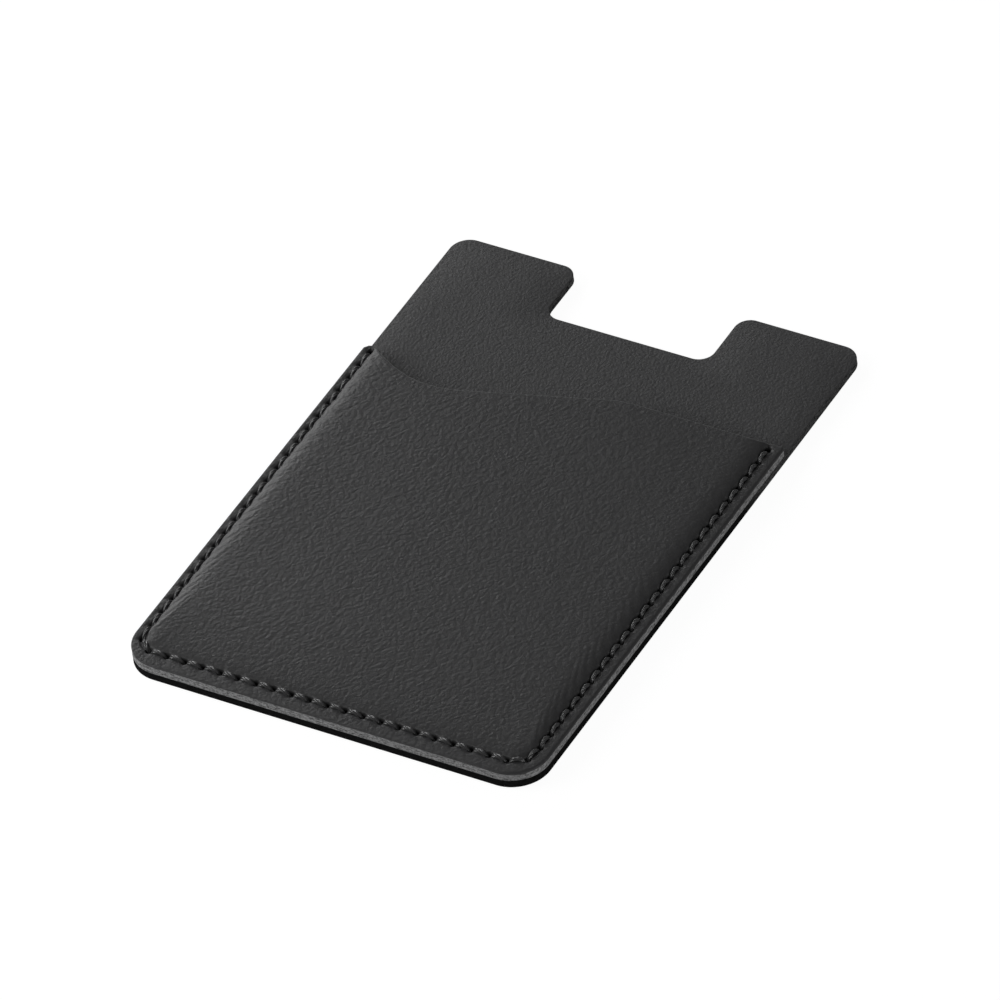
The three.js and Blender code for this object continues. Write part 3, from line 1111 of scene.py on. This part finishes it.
    def build(self) -> None:
        """Builds the sheet's cut edge, skin, underside and lip."""
        plan, draft = self.plan, self.draft
        places = self.column_places()
        middle = plan.line(places, 0.0, 0.0, 0.0, plan.corner)
        turn = smooth_step(middle[:, 0], plan.width / 2 - 9.0, plan.width / 2 - 1.0)
        roll = self.edge_roll + self.curl * turn
        sheet = plan.pocket_sheet
        wall = []
        for share in (0.0, 0.12, 0.3, 0.5, 0.7, 0.87, 1.0):
            sag = 0.03 * math.sin(math.pi * share)
            wave = sag * (1 + 0.6 * np.sin(places * 2.3) * np.sin(places * 0.71 + 1))
            wall.append(self.edge_row(places, wave, (sheet - roll) * share))
        chain = [wall[-1]]
        for angle in np.radians([18.0, 36.0, 54.0, 72.0, 90.0]):
            height = sheet - roll * (1 - math.sin(angle))
            chain.append(self.edge_row(places, roll * (1 - math.cos(angle)), height))
        chain += [self.margin_row(places, share) for share in (0.0, 0.5)]
        channel = [-0.9, -0.74, -0.6, -0.5, -0.42, -0.34, -0.26, -0.17, -0.085, 0.0, 0.085, 0.17, 0.25]
        shoulder = [0.31, 0.37, 0.43, 0.5, 0.58, 0.68, 0.8, 0.95, 1.15, 1.4, 1.7, 2.1, 2.6, 3.2, 4.0, 4.9]
        chain += [self.skin_row(places, self.beside_seam(places, o), o) for o in channel + shoulder]
        for low, high in zip(wall, wall[1:]):
            draft.join_rows(low, high, Finish.CUT_EDGE)
        for low, high in zip(chain, chain[1:]):
            draft.join_rows(low, high, Finish.SKIN)

        under = [wall[0]]
        for offset in (-0.6, 0.5, 0.9, 1.3, 1.8, 2.5, 3.4, 4.9):
            deeper = np.full(len(places), offset - 0.7)
            rise = plan.room * self.skin_rise(deeper, deeper, places)
            under.append(self.add_row(self.beside_seam(places, offset), rise, places, np.zeros(len(places))))
        for low, high in zip(under, under[1:]):
            draft.join_rows(high, low, Finish.BACKING)

        self.close_lip(chain, under, places)
        draft.add_face([row[0] for row in wall], Finish.CUT_EDGE)
        draft.add_face([row[-1] for row in reversed(wall)], Finish.CUT_EDGE)

    def lip_drop(self, points: np.ndarray) -> np.ndarray:
        """How far the lip's rounded rim lies under the skin.

        Args:
            points: Places in plan.

        Returns:
            The drop at each place.
        """
        back = np.array([self.plan.lip(float(x)) for x in points[:, 0]]) - points[:, 1]
        gap = np.clip(self.lip_roll - back, 0.0, self.lip_roll)
        return self.lip_roll - np.sqrt(self.lip_roll**2 - gap**2)

    def rim_highlight_share(self, points: np.ndarray) -> np.ndarray:
        """How much each place in plan carries the highlight painted along the lip's rim, from 0 to 1."""
        back = np.array([self.plan.lip(float(x)) for x in points[:, 0]]) - points[:, 1]
        return 1 - smooth_step(back, 0.1, 0.28)

    def close_lip(self, chain: list[np.ndarray], under: list[np.ndarray], places: np.ndarray) -> None:
        """Adds the flat over the cards, its underside, and the lip's cut edge from end to end.

        Args:
            chain: The skin's rows from the cut edge inwards.
            under: The underside's rows from the cut edge inwards.
            places: The columns' places along the seam.
        """
        plan, draft = self.plan, self.draft
        rim = 8
        across = 150
        last = chain[-1]
        spots = draft.in_plan(last)
        strip: list[np.ndarray] = []
        for k in range(rim + 1):
            left, right = spots[k], spots[-1 - k]
            xs = np.linspace(left[0], right[0], across + 1)[1:-1]
            backs = [plan.lip(float(end[0])) - end[1] for end in (left, right)]
            back = np.linspace(*backs, across + 1)[1:-1]
            flat = np.column_stack([xs, [plan.lip(float(x)) for x in xs] - back])
            height = plan.pocket_sheet + plan.room - self.dents(flat) - self.lip_drop(flat)
            inner = self.add_row(flat, height, np.full(len(xs), places[k]) + xs, -self.rim_highlight_share(flat))
            strip.append(np.concatenate([[last[k]], inner, [last[-1 - k]]]))
        for upper, lower in zip(strip, strip[1:]):
            draft.join_rows(lower, upper, Finish.SKIN)
        self.cap(np.concatenate([last[rim:-rim], strip[-1][-2:0:-1]]), True)

        xs = draft.in_plan(strip[0])[1:-1, 0]
        flat = np.column_stack([xs, [plan.lip(float(x)) for x in xs]])
        edge = self.add_row(flat, np.full(len(xs), plan.room), xs, np.zeros(len(xs)))
        self.cap(np.concatenate([under[-1], edge[::-1]]), False)

        upper = [row[0] for row in chain] + list(strip[0][1:-1]) + [row[-1] for row in reversed(chain)]
        lower = [row[0] for row in under] + list(edge) + [row[-1] for row in reversed(under)]
        self.wall_between(upper, lower)

    def cap(self, boundary: np.ndarray, top: bool) -> None:
        """Fills the flat over the cards inside a closed boundary.

        Args:
            boundary: The numbers of the boundary's points.
            top: True on the skin, False on the underside.
        """
        plan, draft = self.plan, self.draft
        outline = draft.in_plan(boundary)
        low, high = outline.min(axis=0), outline.max(axis=0)
        inside = [
            (x, y)
            for x in np.arange(low[0] + 1.2, high[0] - 1.1, 1.5)
            for y in np.arange(low[1] + 1.2, high[1], 1.5)
            if y < plan.lip(float(x)) - 1.6
        ]
        found, triangles = fill_outline(outline, np.array(inside))
        height = np.full(len(found), plan.room)
        if top:
            height = plan.pocket_sheet + plan.room - self.dents(found)
        inner = self.add_row(found, height, found[:, 0], np.zeros(len(found)))
        finish = Finish.SKIN if top else Finish.BACKING
        draft.add_flat(np.concatenate([boundary, inner]), triangles, finish, top)

    def wall_between(self, upper: list[int], lower: list[int]) -> None:
        """Closes the lip's cut edge between the skin's rim and the underside's rim.

        Args:
            upper: The skin's rim from the left end to the right end.
            lower: The underside's rim from the left end to the right end.
        """
        draft = self.draft
        top_x = draft.in_plan(upper)[:, 0]
        low_x = draft.in_plan(lower)[:, 0]
        i, j = 0, 0
        while i + 1 < len(upper) or j + 1 < len(lower):
            go_up = j + 1 >= len(lower) or (i + 1 < len(upper) and top_x[i + 1] <= low_x[j + 1])
            if go_up:
                draft.add_face((lower[j], upper[i], upper[i + 1]), Finish.CUT_EDGE)
                i += 1
            else:
                draft.add_face((lower[j], upper[i], lower[j + 1]), Finish.CUT_EDGE)
                j += 1

    def dress(self, materials: Sequence[bpy.types.Material]) -> bpy.types.Object:
        """Gives the sheet its finishes and its place in the frame.

        Args:
            materials: The skin, the cut edge and the backing.

        Returns:
            The finished piece.
        """
        self.build()
        piece = self.draft.to_object("pocket_sheet", materials, 62.0)
        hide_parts("pocket_panel")
        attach(piece, ROOT)
        return piece


@dataclass
class BasePanel:
    """The lower sheet, with the thumb notch between its ears.

    Attributes:
        plan: The shared sizes.
        roll: The radius of the cut edge's rims.
        pull: The depth of the dimples under the bobbin stitches.
        draft: The mesh on its way.
    """

    plan: HolderPlan
    roll: float = 0.14
    pull: float = 0.1
    draft: MeshDraft = field(default_factory=MeshDraft)

    def build(self) -> None:
        """Builds the sheet's edge, face and back."""
        plan, draft = self.plan, self.draft
        low, high, roll = plan.base_bottom, plan.base_top, self.roll
        straight = high - low - 2 * roll
        angles = np.radians([0, 30, 60, 90])
        lower = [(roll * (1 - math.sin(a)), low + roll * (1 - math.cos(a))) for a in angles]
        wall = [(0.018 * math.sin(math.pi * s), low + roll + straight * s) for s in (0.25, 0.5, 0.75)]
        upper = [(roll * (1 - math.cos(a)), high - roll * (1 - math.sin(a))) for a in angles]
        rows = []
        for inset, level in [*lower, *wall, *upper]:
            outline, along = plan.panel_outline(inset)
            marks = np.column_stack([along, np.full(len(along), level - low), np.zeros(len(along))])
            rows.append(draft.add_points(np.column_stack([outline, np.full(len(outline), level)]), marks))
        rim_start = len(lower) + len(wall) + 1
        for k, (first, second) in enumerate(zip(rows, rows[1:])):
            draft.join_rows(first, second, Finish.SKIN if k >= rim_start else Finish.CUT_EDGE, closed=True)
        self.cap(rows[-1], high, True)
        self.cap(rows[0], low, False)

    def cap(self, boundary: np.ndarray, level: float, top: bool) -> None:
        """Fills the face or the back.

        Args:
            boundary: The numbers of the boundary's points.
            level: The height of the flat.
            top: True for the face, False for the back with its needle holes.
        """
        plan, draft = self.plan, self.draft
        outline = draft.in_plan(boundary)
        rings: list[np.ndarray] = []
        inside = [(x, y) for x in np.arange(-27.0, 27.1, 1.8) for y in np.arange(-41.0, 34.0, 1.8)]
        centres = np.zeros((0, 2))
        if not top:
            centres = plan.seam(plan.hole_places())
            angles = np.linspace(0, 2 * math.pi, 12, endpoint=False)
            wheel = np.stack([np.cos(angles), np.sin(angles)], axis=1)
            rings = [centre + radius * wheel for centre in centres for radius in (0.2, 0.33, 0.5, 0.85)]
            inside += [tuple(c) for c in centres]
        found, triangles = fill_outline(outline, np.array(inside), rings)
        height = np.full(len(found), level)
        depth = np.zeros(len(found))
        for centre in centres:
            far = np.hypot(*(found - centre).T)
            within = 1 - smooth_step(far, 0.19, 0.34)
            height += 0.6 * within + self.pull * np.exp(-((far / 0.6) ** 2)) * (1 - within) * (far < 1.2)
            depth = np.maximum(depth, within)
        if top:
            x, y = found[:, 0], found[:, 1]
            height -= 0.012 * (1 + np.sin(0.23 * x + 0.5) * np.sin(0.17 * y + 0.2))
        marks = np.column_stack([found[:, 0], height - plan.base_bottom, depth])
        inner = draft.add_points(np.column_stack([found, height]), marks)
        finish = Finish.SKIN if top else Finish.BACKING
        draft.add_flat(np.concatenate([boundary, inner]), triangles, finish, top)

    def dress(self, materials: Sequence[bpy.types.Material]) -> bpy.types.Object:
        """Gives the sheet its finishes and its place in the frame.

        Args:
            materials: The skin, the cut edge and the backing.

        Returns:
            The finished piece.
        """
        self.build()
        piece = self.draft.to_object("base_sheet", materials)
        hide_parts("base_panel")
        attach(piece, ROOT)
        return piece


@dataclass(frozen=True)
class StitchShape:
    """One stitch of a thread, along +X from one hole to the next, in millimetres.

    Attributes:
        level: The height of the thread's middle where it lies on the sheet.
        bow: How much higher its middle is than its shoulders.
        lock: The height of the lock in the holes.
        thread: The distance of a ply's middle from the thread's middle.
        ply: The radius of one ply.
        turns: How often the plies twist round in one stitch.
        slant: How far each end of the stitch lies to the side.
        seed: The seed of the small differences between stitches.
    """

    level: float
    bow: float
    lock: float
    thread: float
    ply: float
    turns: float
    slant: float
    seed: int


@dataclass
class LockstitchSeam:
    """One thread of the seam, as stitches set from hole to hole.

    Attributes:
        plan: The shared sizes.
        shape: The shape of a stitch.
        steps: The points along one stitch.
        sides: The sides of one ply.
    """

    plan: HolderPlan
    shape: StitchShape
    steps: int = 25
    sides: int = 7

    def guide(self, name: str) -> bpy.types.Object:
        """Makes a point at each hole but the last, which stores where the next hole is.

        Args:
            name: The guide's name.

        Returns:
            The guide's object.
        """
        holes = self.plan.seam(self.plan.hole_places())
        chord = holes[1:] - holes[:-1]
        level = np.zeros(len(chord))
        mesh = bpy.data.meshes.new(name)
        mesh.from_pydata((np.column_stack([holes[:-1], level]) * MM).tolist(), [], [])
        for key, values in (
            ("heading", np.arctan2(chord[:, 1], chord[:, 0])),
            ("reach", np.hypot(*chord.T) / self.plan.pitch),
        ):
            stored = mesh.attributes.new(key, "FLOAT", "POINT")
            stored.data.foreach_set("value", values.astype(np.float32))
        return add_object(name, mesh)

    def tree(self, name: str) -> bpy.types.NodeTree:
        """Builds the node tree that sets a twisted stitch on each guide point.

        Args:
            name: The tree's name.

        Returns:
            The tree, whose inputs are the sizes of StitchShape in metres.
        """
        tree = bpy.data.node_groups.new(name, "GeometryNodeTree")
        inputs = [
            ("Geometry", "NodeSocketGeometry"),
            ("Pitch", "NodeSocketFloat"),
            ("Level", "NodeSocketFloat"),
            ("Bow", "NodeSocketFloat"),
            ("Lock", "NodeSocketFloat"),
            ("Thread", "NodeSocketFloat"),
            ("Ply", "NodeSocketFloat"),
            ("Turns", "NodeSocketFloat"),
            ("Slant", "NodeSocketFloat"),
            ("Seed", "NodeSocketInt"),
            ("Material", "NodeSocketMaterial"),
        ]
        for label, kind in inputs:
            tree.interface.new_socket(name=label, in_out="INPUT", socket_type=kind)
        tree.interface.new_socket(name="Geometry", in_out="OUTPUT", socket_type="NodeSocketGeometry")
        bench = NodeBench(tree)
        entry = bench.add("NodeGroupInput")
        given = {label: bench.out(entry, label) for label, _ in inputs}
        index = bench.get("GeometryNodeInputIndex")
        share = index / float(self.steps - 1)
        wide = (share * 2 - 1).size()
        run = share * given["Pitch"]
        fall = ((wide - 0.2).at_least(0.0) / 0.8) ** 2.1
        crown = (1 - wide * wide) * given["Bow"]
        height = (given["Level"] + crown) * (1 - fall) + given["Lock"] * fall
        side = given["Slant"] * (1 - share * 2) * (1 - fall)
        plies = []
        for k in range(3):
            angle = share * given["Turns"] * (2 * math.pi) + 2 * math.pi * k / 3
            spread = given["Thread"] * (1 - fall * 0.4)
            where = bench.get(
                "ShaderNodeCombineXYZ",
                None,
                {0: run, 1: side + spread * angle.cosine(), 2: height + spread * angle.sine()},
            )
            line = bench.get("GeometryNodeCurvePrimitiveLine", {"mode": "POINTS"}, {"End": (1.0, 0.0, 0.0)})
            dense = bench.get("GeometryNodeResampleCurve", None, {"Curve": line, "Count": self.steps})
            bent = bench.get("GeometryNodeSetPosition", None, {"Geometry": dense, "Position": where})
            round_ply = {"Resolution": self.sides, "Radius": given["Ply"]}
            ring = bench.get("GeometryNodeCurvePrimitiveCircle", {"mode": "RADIUS"}, round_ply)
            tube = {"Curve": bent, "Profile Curve": ring, "Fill Caps": True}
            plies.append(bench.get("GeometryNodeCurveToMesh", None, tube))
        stitch = bench.get("GeometryNodeJoinGeometry", None, {0: plies})
        number = {"data_type": "FLOAT"}
        heading = bench.get("GeometryNodeInputNamedAttribute", number, {"Name": "heading"})
        reach = bench.get("GeometryNodeInputNamedAttribute", number, {"Name": "reach"})
        sway_range = {"Min": -0.035, "Max": 0.035, "Seed": given["Seed"]}
        sway = bench.get("FunctionNodeRandomValue", number, sway_range)
        girth_range = {"Min": -0.1, "Max": 0.1, "Seed": given["Seed"] + 7}
        girth = bench.get("FunctionNodeRandomValue", number, girth_range)
        turn = bench.get("ShaderNodeCombineXYZ", None, {0: 0.0, 1: 0.0, 2: heading + sway})
        size = bench.get("ShaderNodeCombineXYZ", None, {0: reach, 1: 1 + girth, 2: 1.0})
        placed = bench.get(
            "GeometryNodeInstanceOnPoints",
            None,
            {"Points": given["Geometry"], "Instance": stitch, "Rotation": turn, "Scale": size},
        )
        real = bench.get("GeometryNodeRealizeInstances", None, {"Geometry": placed})
        smooth = bench.get("GeometryNodeSetShadeSmooth", None, {"Geometry": real})
        painted = {"Geometry": smooth, "Material": given["Material"]}
        dressed = bench.get("GeometryNodeSetMaterial", None, painted)
        bench.add("NodeGroupOutput", None, {"Geometry": dressed})
        return tree

    def dress(self, name: str, node: str, material: bpy.types.Material) -> bpy.types.Object:
        """Sets the stitches, turns them into a plain mesh and puts it in the frame.

        Args:
            name: The piece's name.
            node: The solid that it replaces.
            material: The thread's material.

        Returns:
            The finished piece.
        """
        guide = self.guide(f"{name}_guide")
        tree = self.tree(f"{name}_layout")
        modifier = guide.modifiers.new("layout", "NODES")
        modifier.node_group = tree
        shape = self.shape
        wanted = {
            "Pitch": self.plan.pitch * MM,
            "Level": shape.level * MM,
            "Bow": shape.bow * MM,
            "Lock": shape.lock * MM,
            "Thread": shape.thread * MM,
            "Ply": shape.ply * MM,
            "Turns": shape.turns,
            "Slant": shape.slant * MM,
            "Seed": shape.seed,
            "Material": material,
        }
        for item in tree.interface.items_tree:
            if item.in_out == "INPUT" and item.name in wanted:
                modifier[item.identifier] = wanted[item.name]
        graph = bpy.context.evaluated_depsgraph_get()
        mesh = bpy.data.meshes.new_from_object(guide.evaluated_get(graph))
        mesh.name = name
        bpy.data.objects.remove(guide)
        piece = add_object(name, mesh)
        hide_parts(node)
        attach(piece, ROOT)
        return piece


@dataclass
class BackSheet:
    """A flat sheet with rounded corners on the back: the adhesive pad or its liner.

    Attributes:
        plan: The shared sizes.
        inset: The distance from the holder's left, lower and right edges.
        setback: The distance from the notch's floor.
        corner: The radius of the corners.
        low: The height of the underside.
        high: The height of the upper side.
        roll: The radius of the rims.
    """

    plan: HolderPlan
    inset: float
    setback: float
    corner: float
    low: float
    high: float
    roll: float

    def outline(self, inset: float) -> np.ndarray:
        """The outline at an inset, anticlockwise."""
        plan = self.plan
        x0, y0 = -plan.width / 2 + self.inset, -plan.length / 2 + self.inset
        x1, y1 = -x0, plan.length / 2 - plan.notch_depth - self.setback
        radius = self.corner
        turn = radius - inset
        points = []
        for cx, cy, start in (
            (x0 + radius, y0 + radius, 180),
            (x1 - radius, y0 + radius, 270),
            (x1 - radius, y1 - radius, 0),
            (x0 + radius, y1 - radius, 90),
        ):
            for angle in np.radians(np.linspace(start, start + 90, 13)):
                points.append((cx + turn * math.cos(angle), cy + turn * math.sin(angle)))
        return np.array(points)

    def dress(self, name: str, node: str, slot: str, material: bpy.types.Material) -> bpy.types.Object:
        """Builds the sheet and puts it in the frame.

        Args:
            name: The piece's name.
            node: The solid that it replaces.
            slot: A material slot's name, which is not used.
            material: The sheet's material.

        Returns:
            The finished piece.
        """
        draft = MeshDraft()
        middle = (self.low + self.high) / 2
        profile = [
            (self.roll, self.low),
            (self.roll * 0.3, self.low + self.roll * 0.3),
            (0.0, self.low + self.roll),
            (0.0, middle),
            (0.0, self.high - self.roll),
            (self.roll * 0.3, self.high - self.roll * 0.3),
            (self.roll, self.high),
        ]
        rows = []
        for inset, level in profile:
            outline = self.outline(inset)
            marks = np.zeros((len(outline), 3))
            rows.append(draft.add_points(np.column_stack([outline, np.full(len(outline), level)]), marks))
        for first, second in zip(rows, rows[1:]):
            draft.join_rows(first, second, Finish.SKIN, closed=True)
        for boundary, level, top in ((rows[-1], self.high, True), (rows[0], self.low, False)):
            shape = draft.in_plan(boundary)
            low, high = shape.min(axis=0) + 2.0, shape.max(axis=0) - 1.9
            columns, levels = np.arange(low[0], high[0], 3.0), np.arange(low[1], high[1], 3.0)
            inside = [(x, y) for x in columns for y in levels]
            found, triangles = fill_outline(shape, np.array(inside))
            flat = np.column_stack([found, np.full(len(found), level)])
            inner = draft.add_points(flat, np.zeros((len(found), 3)))
            draft.add_flat(np.concatenate([boundary, inner]), triangles, Finish.SKIN, top)
        piece = draft.to_object(name, [material])
        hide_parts(node)
        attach(piece, ROOT)
        return piece


@dataclass(frozen=True)
class SoftLamp:
    """A square studio lamp with a soft cover.

    Attributes:
        name: The lamp's name.
        place: Where it hangs, in metres.
        target: What it points at, in metres.
        size: The length of its sides in metres.
        power: Its power in watts.
    """

    name: str
    place: tuple[float, float, float]
    target: tuple[float, float, float]
    size: tuple[float, float]
    power: float

    def hang(self) -> None:
        """Adds the lamp to the scene."""
        lamp = bpy.data.lights.new(self.name, "AREA")
        lamp.shape = "RECTANGLE"
        lamp.size, lamp.size_y = self.size
        lamp.energy = self.power
        made = add_object(self.name, lamp)
        made.location = self.place
        way = Vector(self.target) - Vector(self.place)
        made.rotation_euler = way.to_track_quat("-Z", "Y").to_euler()


@dataclass
class Studio:
    """The pale floor, the lamps, the surroundings and the camera.

    Attributes:
        floor_side: The floor's side in metres.
        ambient: The strength of the surroundings' light.
        eye: The camera's place in metres.
        right: The camera's right in the frame.
        up: The camera's up in the frame.
        back: The direction from the object to the camera.
        film: The film's width in millimetres.
        lens: The lens's length in millimetres.
    """

    floor_side: float = 6.0
    ambient: float = 0.08
    eye: tuple[float, float, float] = (0.744361, -1.086087, 1.169649)
    right: tuple[float, float, float] = (0.868910, 0.484155, -0.102901)
    up: tuple[float, float, float] = (-0.257593, 0.619842, 0.741243)
    back: tuple[float, float, float] = (0.422659, -0.617567, 0.663303)
    film: float = 36.0
    lens: float = 480.62

    def floor(self) -> None:
        """Lays the floor, which keeps the object's shadow and is white to the camera."""
        half = self.floor_side / 2
        mesh = bpy.data.meshes.new("floor")
        corners = [(-half, -half, 0.0), (half, -half, 0.0), (half, half, 0.0), (-half, half, 0.0)]
        mesh.from_pydata(corners, [], [(0, 1, 2, 3)])
        material = bpy.data.materials.new("floor_paper")
        material.use_nodes = True
        material.node_tree.nodes.clear()
        bench = NodeBench(material.node_tree)
        place = bench.get("ShaderNodeTexCoord", output="Object")
        tone = 0.86 + bench.noise(place, 40.0, 3.0) * 0.04
        paper = bench.colour(tone, BLACK, WHITE)
        matt = bench.get("ShaderNodeBsdfDiffuse", None, {"Color": paper})
        glow = bench.get("ShaderNodeEmission", None, {"Color": WHITE, "Strength": 1.2})
        seen = bench.get("ShaderNodeLightPath", output="Is Camera Ray")
        mixed = bench.get("ShaderNodeMixShader", None, {0: seen * 0.8, 1: matt, 2: glow})
        bench.add("ShaderNodeOutputMaterial", None, {"Surface": mixed})
        mesh.materials.append(material)
        made = add_object("floor", mesh)

    def surroundings(self) -> None:
        """Sets the even light of the room, which is white to the camera."""
        world = bpy.data.worlds.new("room")
        world.use_nodes = True
        world.node_tree.nodes.clear()
        bench = NodeBench(world.node_tree)
        seen = bench.get("ShaderNodeLightPath", output="Is Camera Ray")
        strength = self.ambient + seen * (1 - self.ambient)
        light = bench.get("ShaderNodeBackground", None, {"Color": WHITE, "Strength": strength})
        bench.add("ShaderNodeOutputWorld", None, {"Surface": light})
        bpy.context.scene.world = world

    def lamps(self) -> None:
        """Hangs two lamps on the left, behind and in front, and a low card that lights the right edges."""
        middle = (0.0, 0.0, 0.0)
        SoftLamp("key_lamp", (-0.32, 0.19, 0.12), middle, size=(0.24, 0.22), power=0.44).hang()
        SoftLamp("right_card", (0.45, -0.12, 0.05), (0.0, 0.0, 0.002), size=(0.3, 0.08), power=0.28).hang()
        SoftLamp("front_lamp", (-0.31, -0.24, 0.25), middle, size=(0.26, 0.26), power=0.6).hang()

    def camera(self) -> None:
        """Sets up the camera."""
        lens = bpy.data.cameras.new("camera")
        lens.lens = self.lens
        lens.sensor_width = self.film
        lens.clip_start, lens.clip_end = 0.05, 20.0
        made = add_object("camera", lens)
        turn = Matrix((self.right, self.up, self.back)).transposed().to_4x4()
        made.matrix_world = Matrix.Translation(self.eye) @ turn
        bpy.context.scene.camera = made

    def set_up(self) -> None:
        """Builds the whole studio."""
        bpy.context.scene.view_settings.view_transform = "Standard"
        self.floor()
        self.surroundings()
        self.lamps()
        self.camera()


@dataclass
class CardHolder:
    """The whole holder, dressed piece by piece."""

    plan: HolderPlan = field(default_factory=HolderPlan)

    def sheets(self) -> list[bpy.types.Object]:
        """Builds the two leather sheets."""
        pocket_skin = LeatherSkin(
            "pocket_skin",
            colour=(0.036, 0.036, 0.0365),
            roughness=0.45,
            pebble=0.6,
            pebble_depth=0.8,
            crease_depth=0.8,
            crease_turn=46.0,
            relief=0.068,
            sheen=0.12,
        ).make()
        base_skin = LeatherSkin(
            "base_skin",
            colour=(0.044, 0.044, 0.0445),
            roughness=0.6,
            pebble=0.42,
            pebble_depth=0.8,
            crease_depth=0.5,
            crease_turn=20.0,
            relief=0.09,
            sheen=0.18,
        ).make()
        pocket_edge = FibreEdge(
            "pocket_cut_edge",
            pale=(0.62, 0.62, 0.625),
            dark=(0.12, 0.12, 0.12),
            skin_line=1.1,
            shade_ends_y=-80.0,
            fibres_in_shade=1.0,
        ).make()
        # The base's edge is darkened by painted shade below about 15 mm along Y, beside the pocket.
        base_edge = FibreEdge(
            "base_cut_edge",
            pale=(0.17, 0.17, 0.171),
            dark=(0.004, 0.004, 0.004),
            skin_line=1.3,
            shade_ends_y=15.0,
            fibres_in_shade=0.06,
        ).make()
        backing = FeltBacking("felt_backing", colour=(0.05, 0.05, 0.052)).make()
        return [
            BasePanel(self.plan).dress([base_skin, base_edge, backing]),
            PocketPanel(self.plan).dress([pocket_skin, pocket_edge, backing]),
        ]

    def threads(self) -> list[bpy.types.Object]:
        """Sews the two threads."""
        black = TwistedThread("needle_thread_black", colour=(0.085, 0.085, 0.087), roughness=0.24).make()
        dull = TwistedThread("bobbin_thread_black", colour=(0.022, 0.022, 0.023), roughness=0.45).make()
        over = StitchShape(
            level=3.1, bow=0.1, lock=1.95, thread=0.145, ply=0.16, turns=0.8, slant=0.06, seed=3
        )
        below = StitchShape(
            level=0.3, bow=-0.02, lock=1.2, thread=0.1, ply=0.1, turns=0.9, slant=0.04, seed=11
        )
        return [
            LockstitchSeam(self.plan, over).dress("needle_stitches", "needle_thread", black),
            LockstitchSeam(self.plan, below).dress("bobbin_stitches", "bobbin_thread", dull),
        ]

    def back(self) -> list[bpy.types.Object]:
        """Adds the adhesive pad and its liner."""
        foam = FoamPad("adhesive_foam", colour=(0.5, 0.5, 0.48)).make()
        paper = LinerPaper("liner_paper", colour=(0.8, 0.78, 0.72)).make()
        pad = BackSheet(self.plan, inset=4.6, setback=5.0, corner=3.0, low=0.1, high=0.5, roll=0.05)
        liner = BackSheet(self.plan, inset=3.8, setback=4.2, corner=3.8, low=0.0, high=0.1, roll=0.02)
        return [
            pad.dress("foam_pad", "adhesive_pad", "adhesive", foam),
            liner.dress("paper_liner", "release_liner", "liner", paper),
        ]


def main() -> None:
    """Loads the frame, dresses the holder and sets up the studio."""
    logging.basicConfig(level=logging.INFO, format="%(name)s: %(message)s")
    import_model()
    holder = CardHolder()
    for group in (holder.sheets, holder.threads, holder.back):
        for piece in group():
            log.info("%s: %d faces", piece.name, len(piece.data.polygons))
    Studio().set_up()


if __name__ == "__main__":
    main()
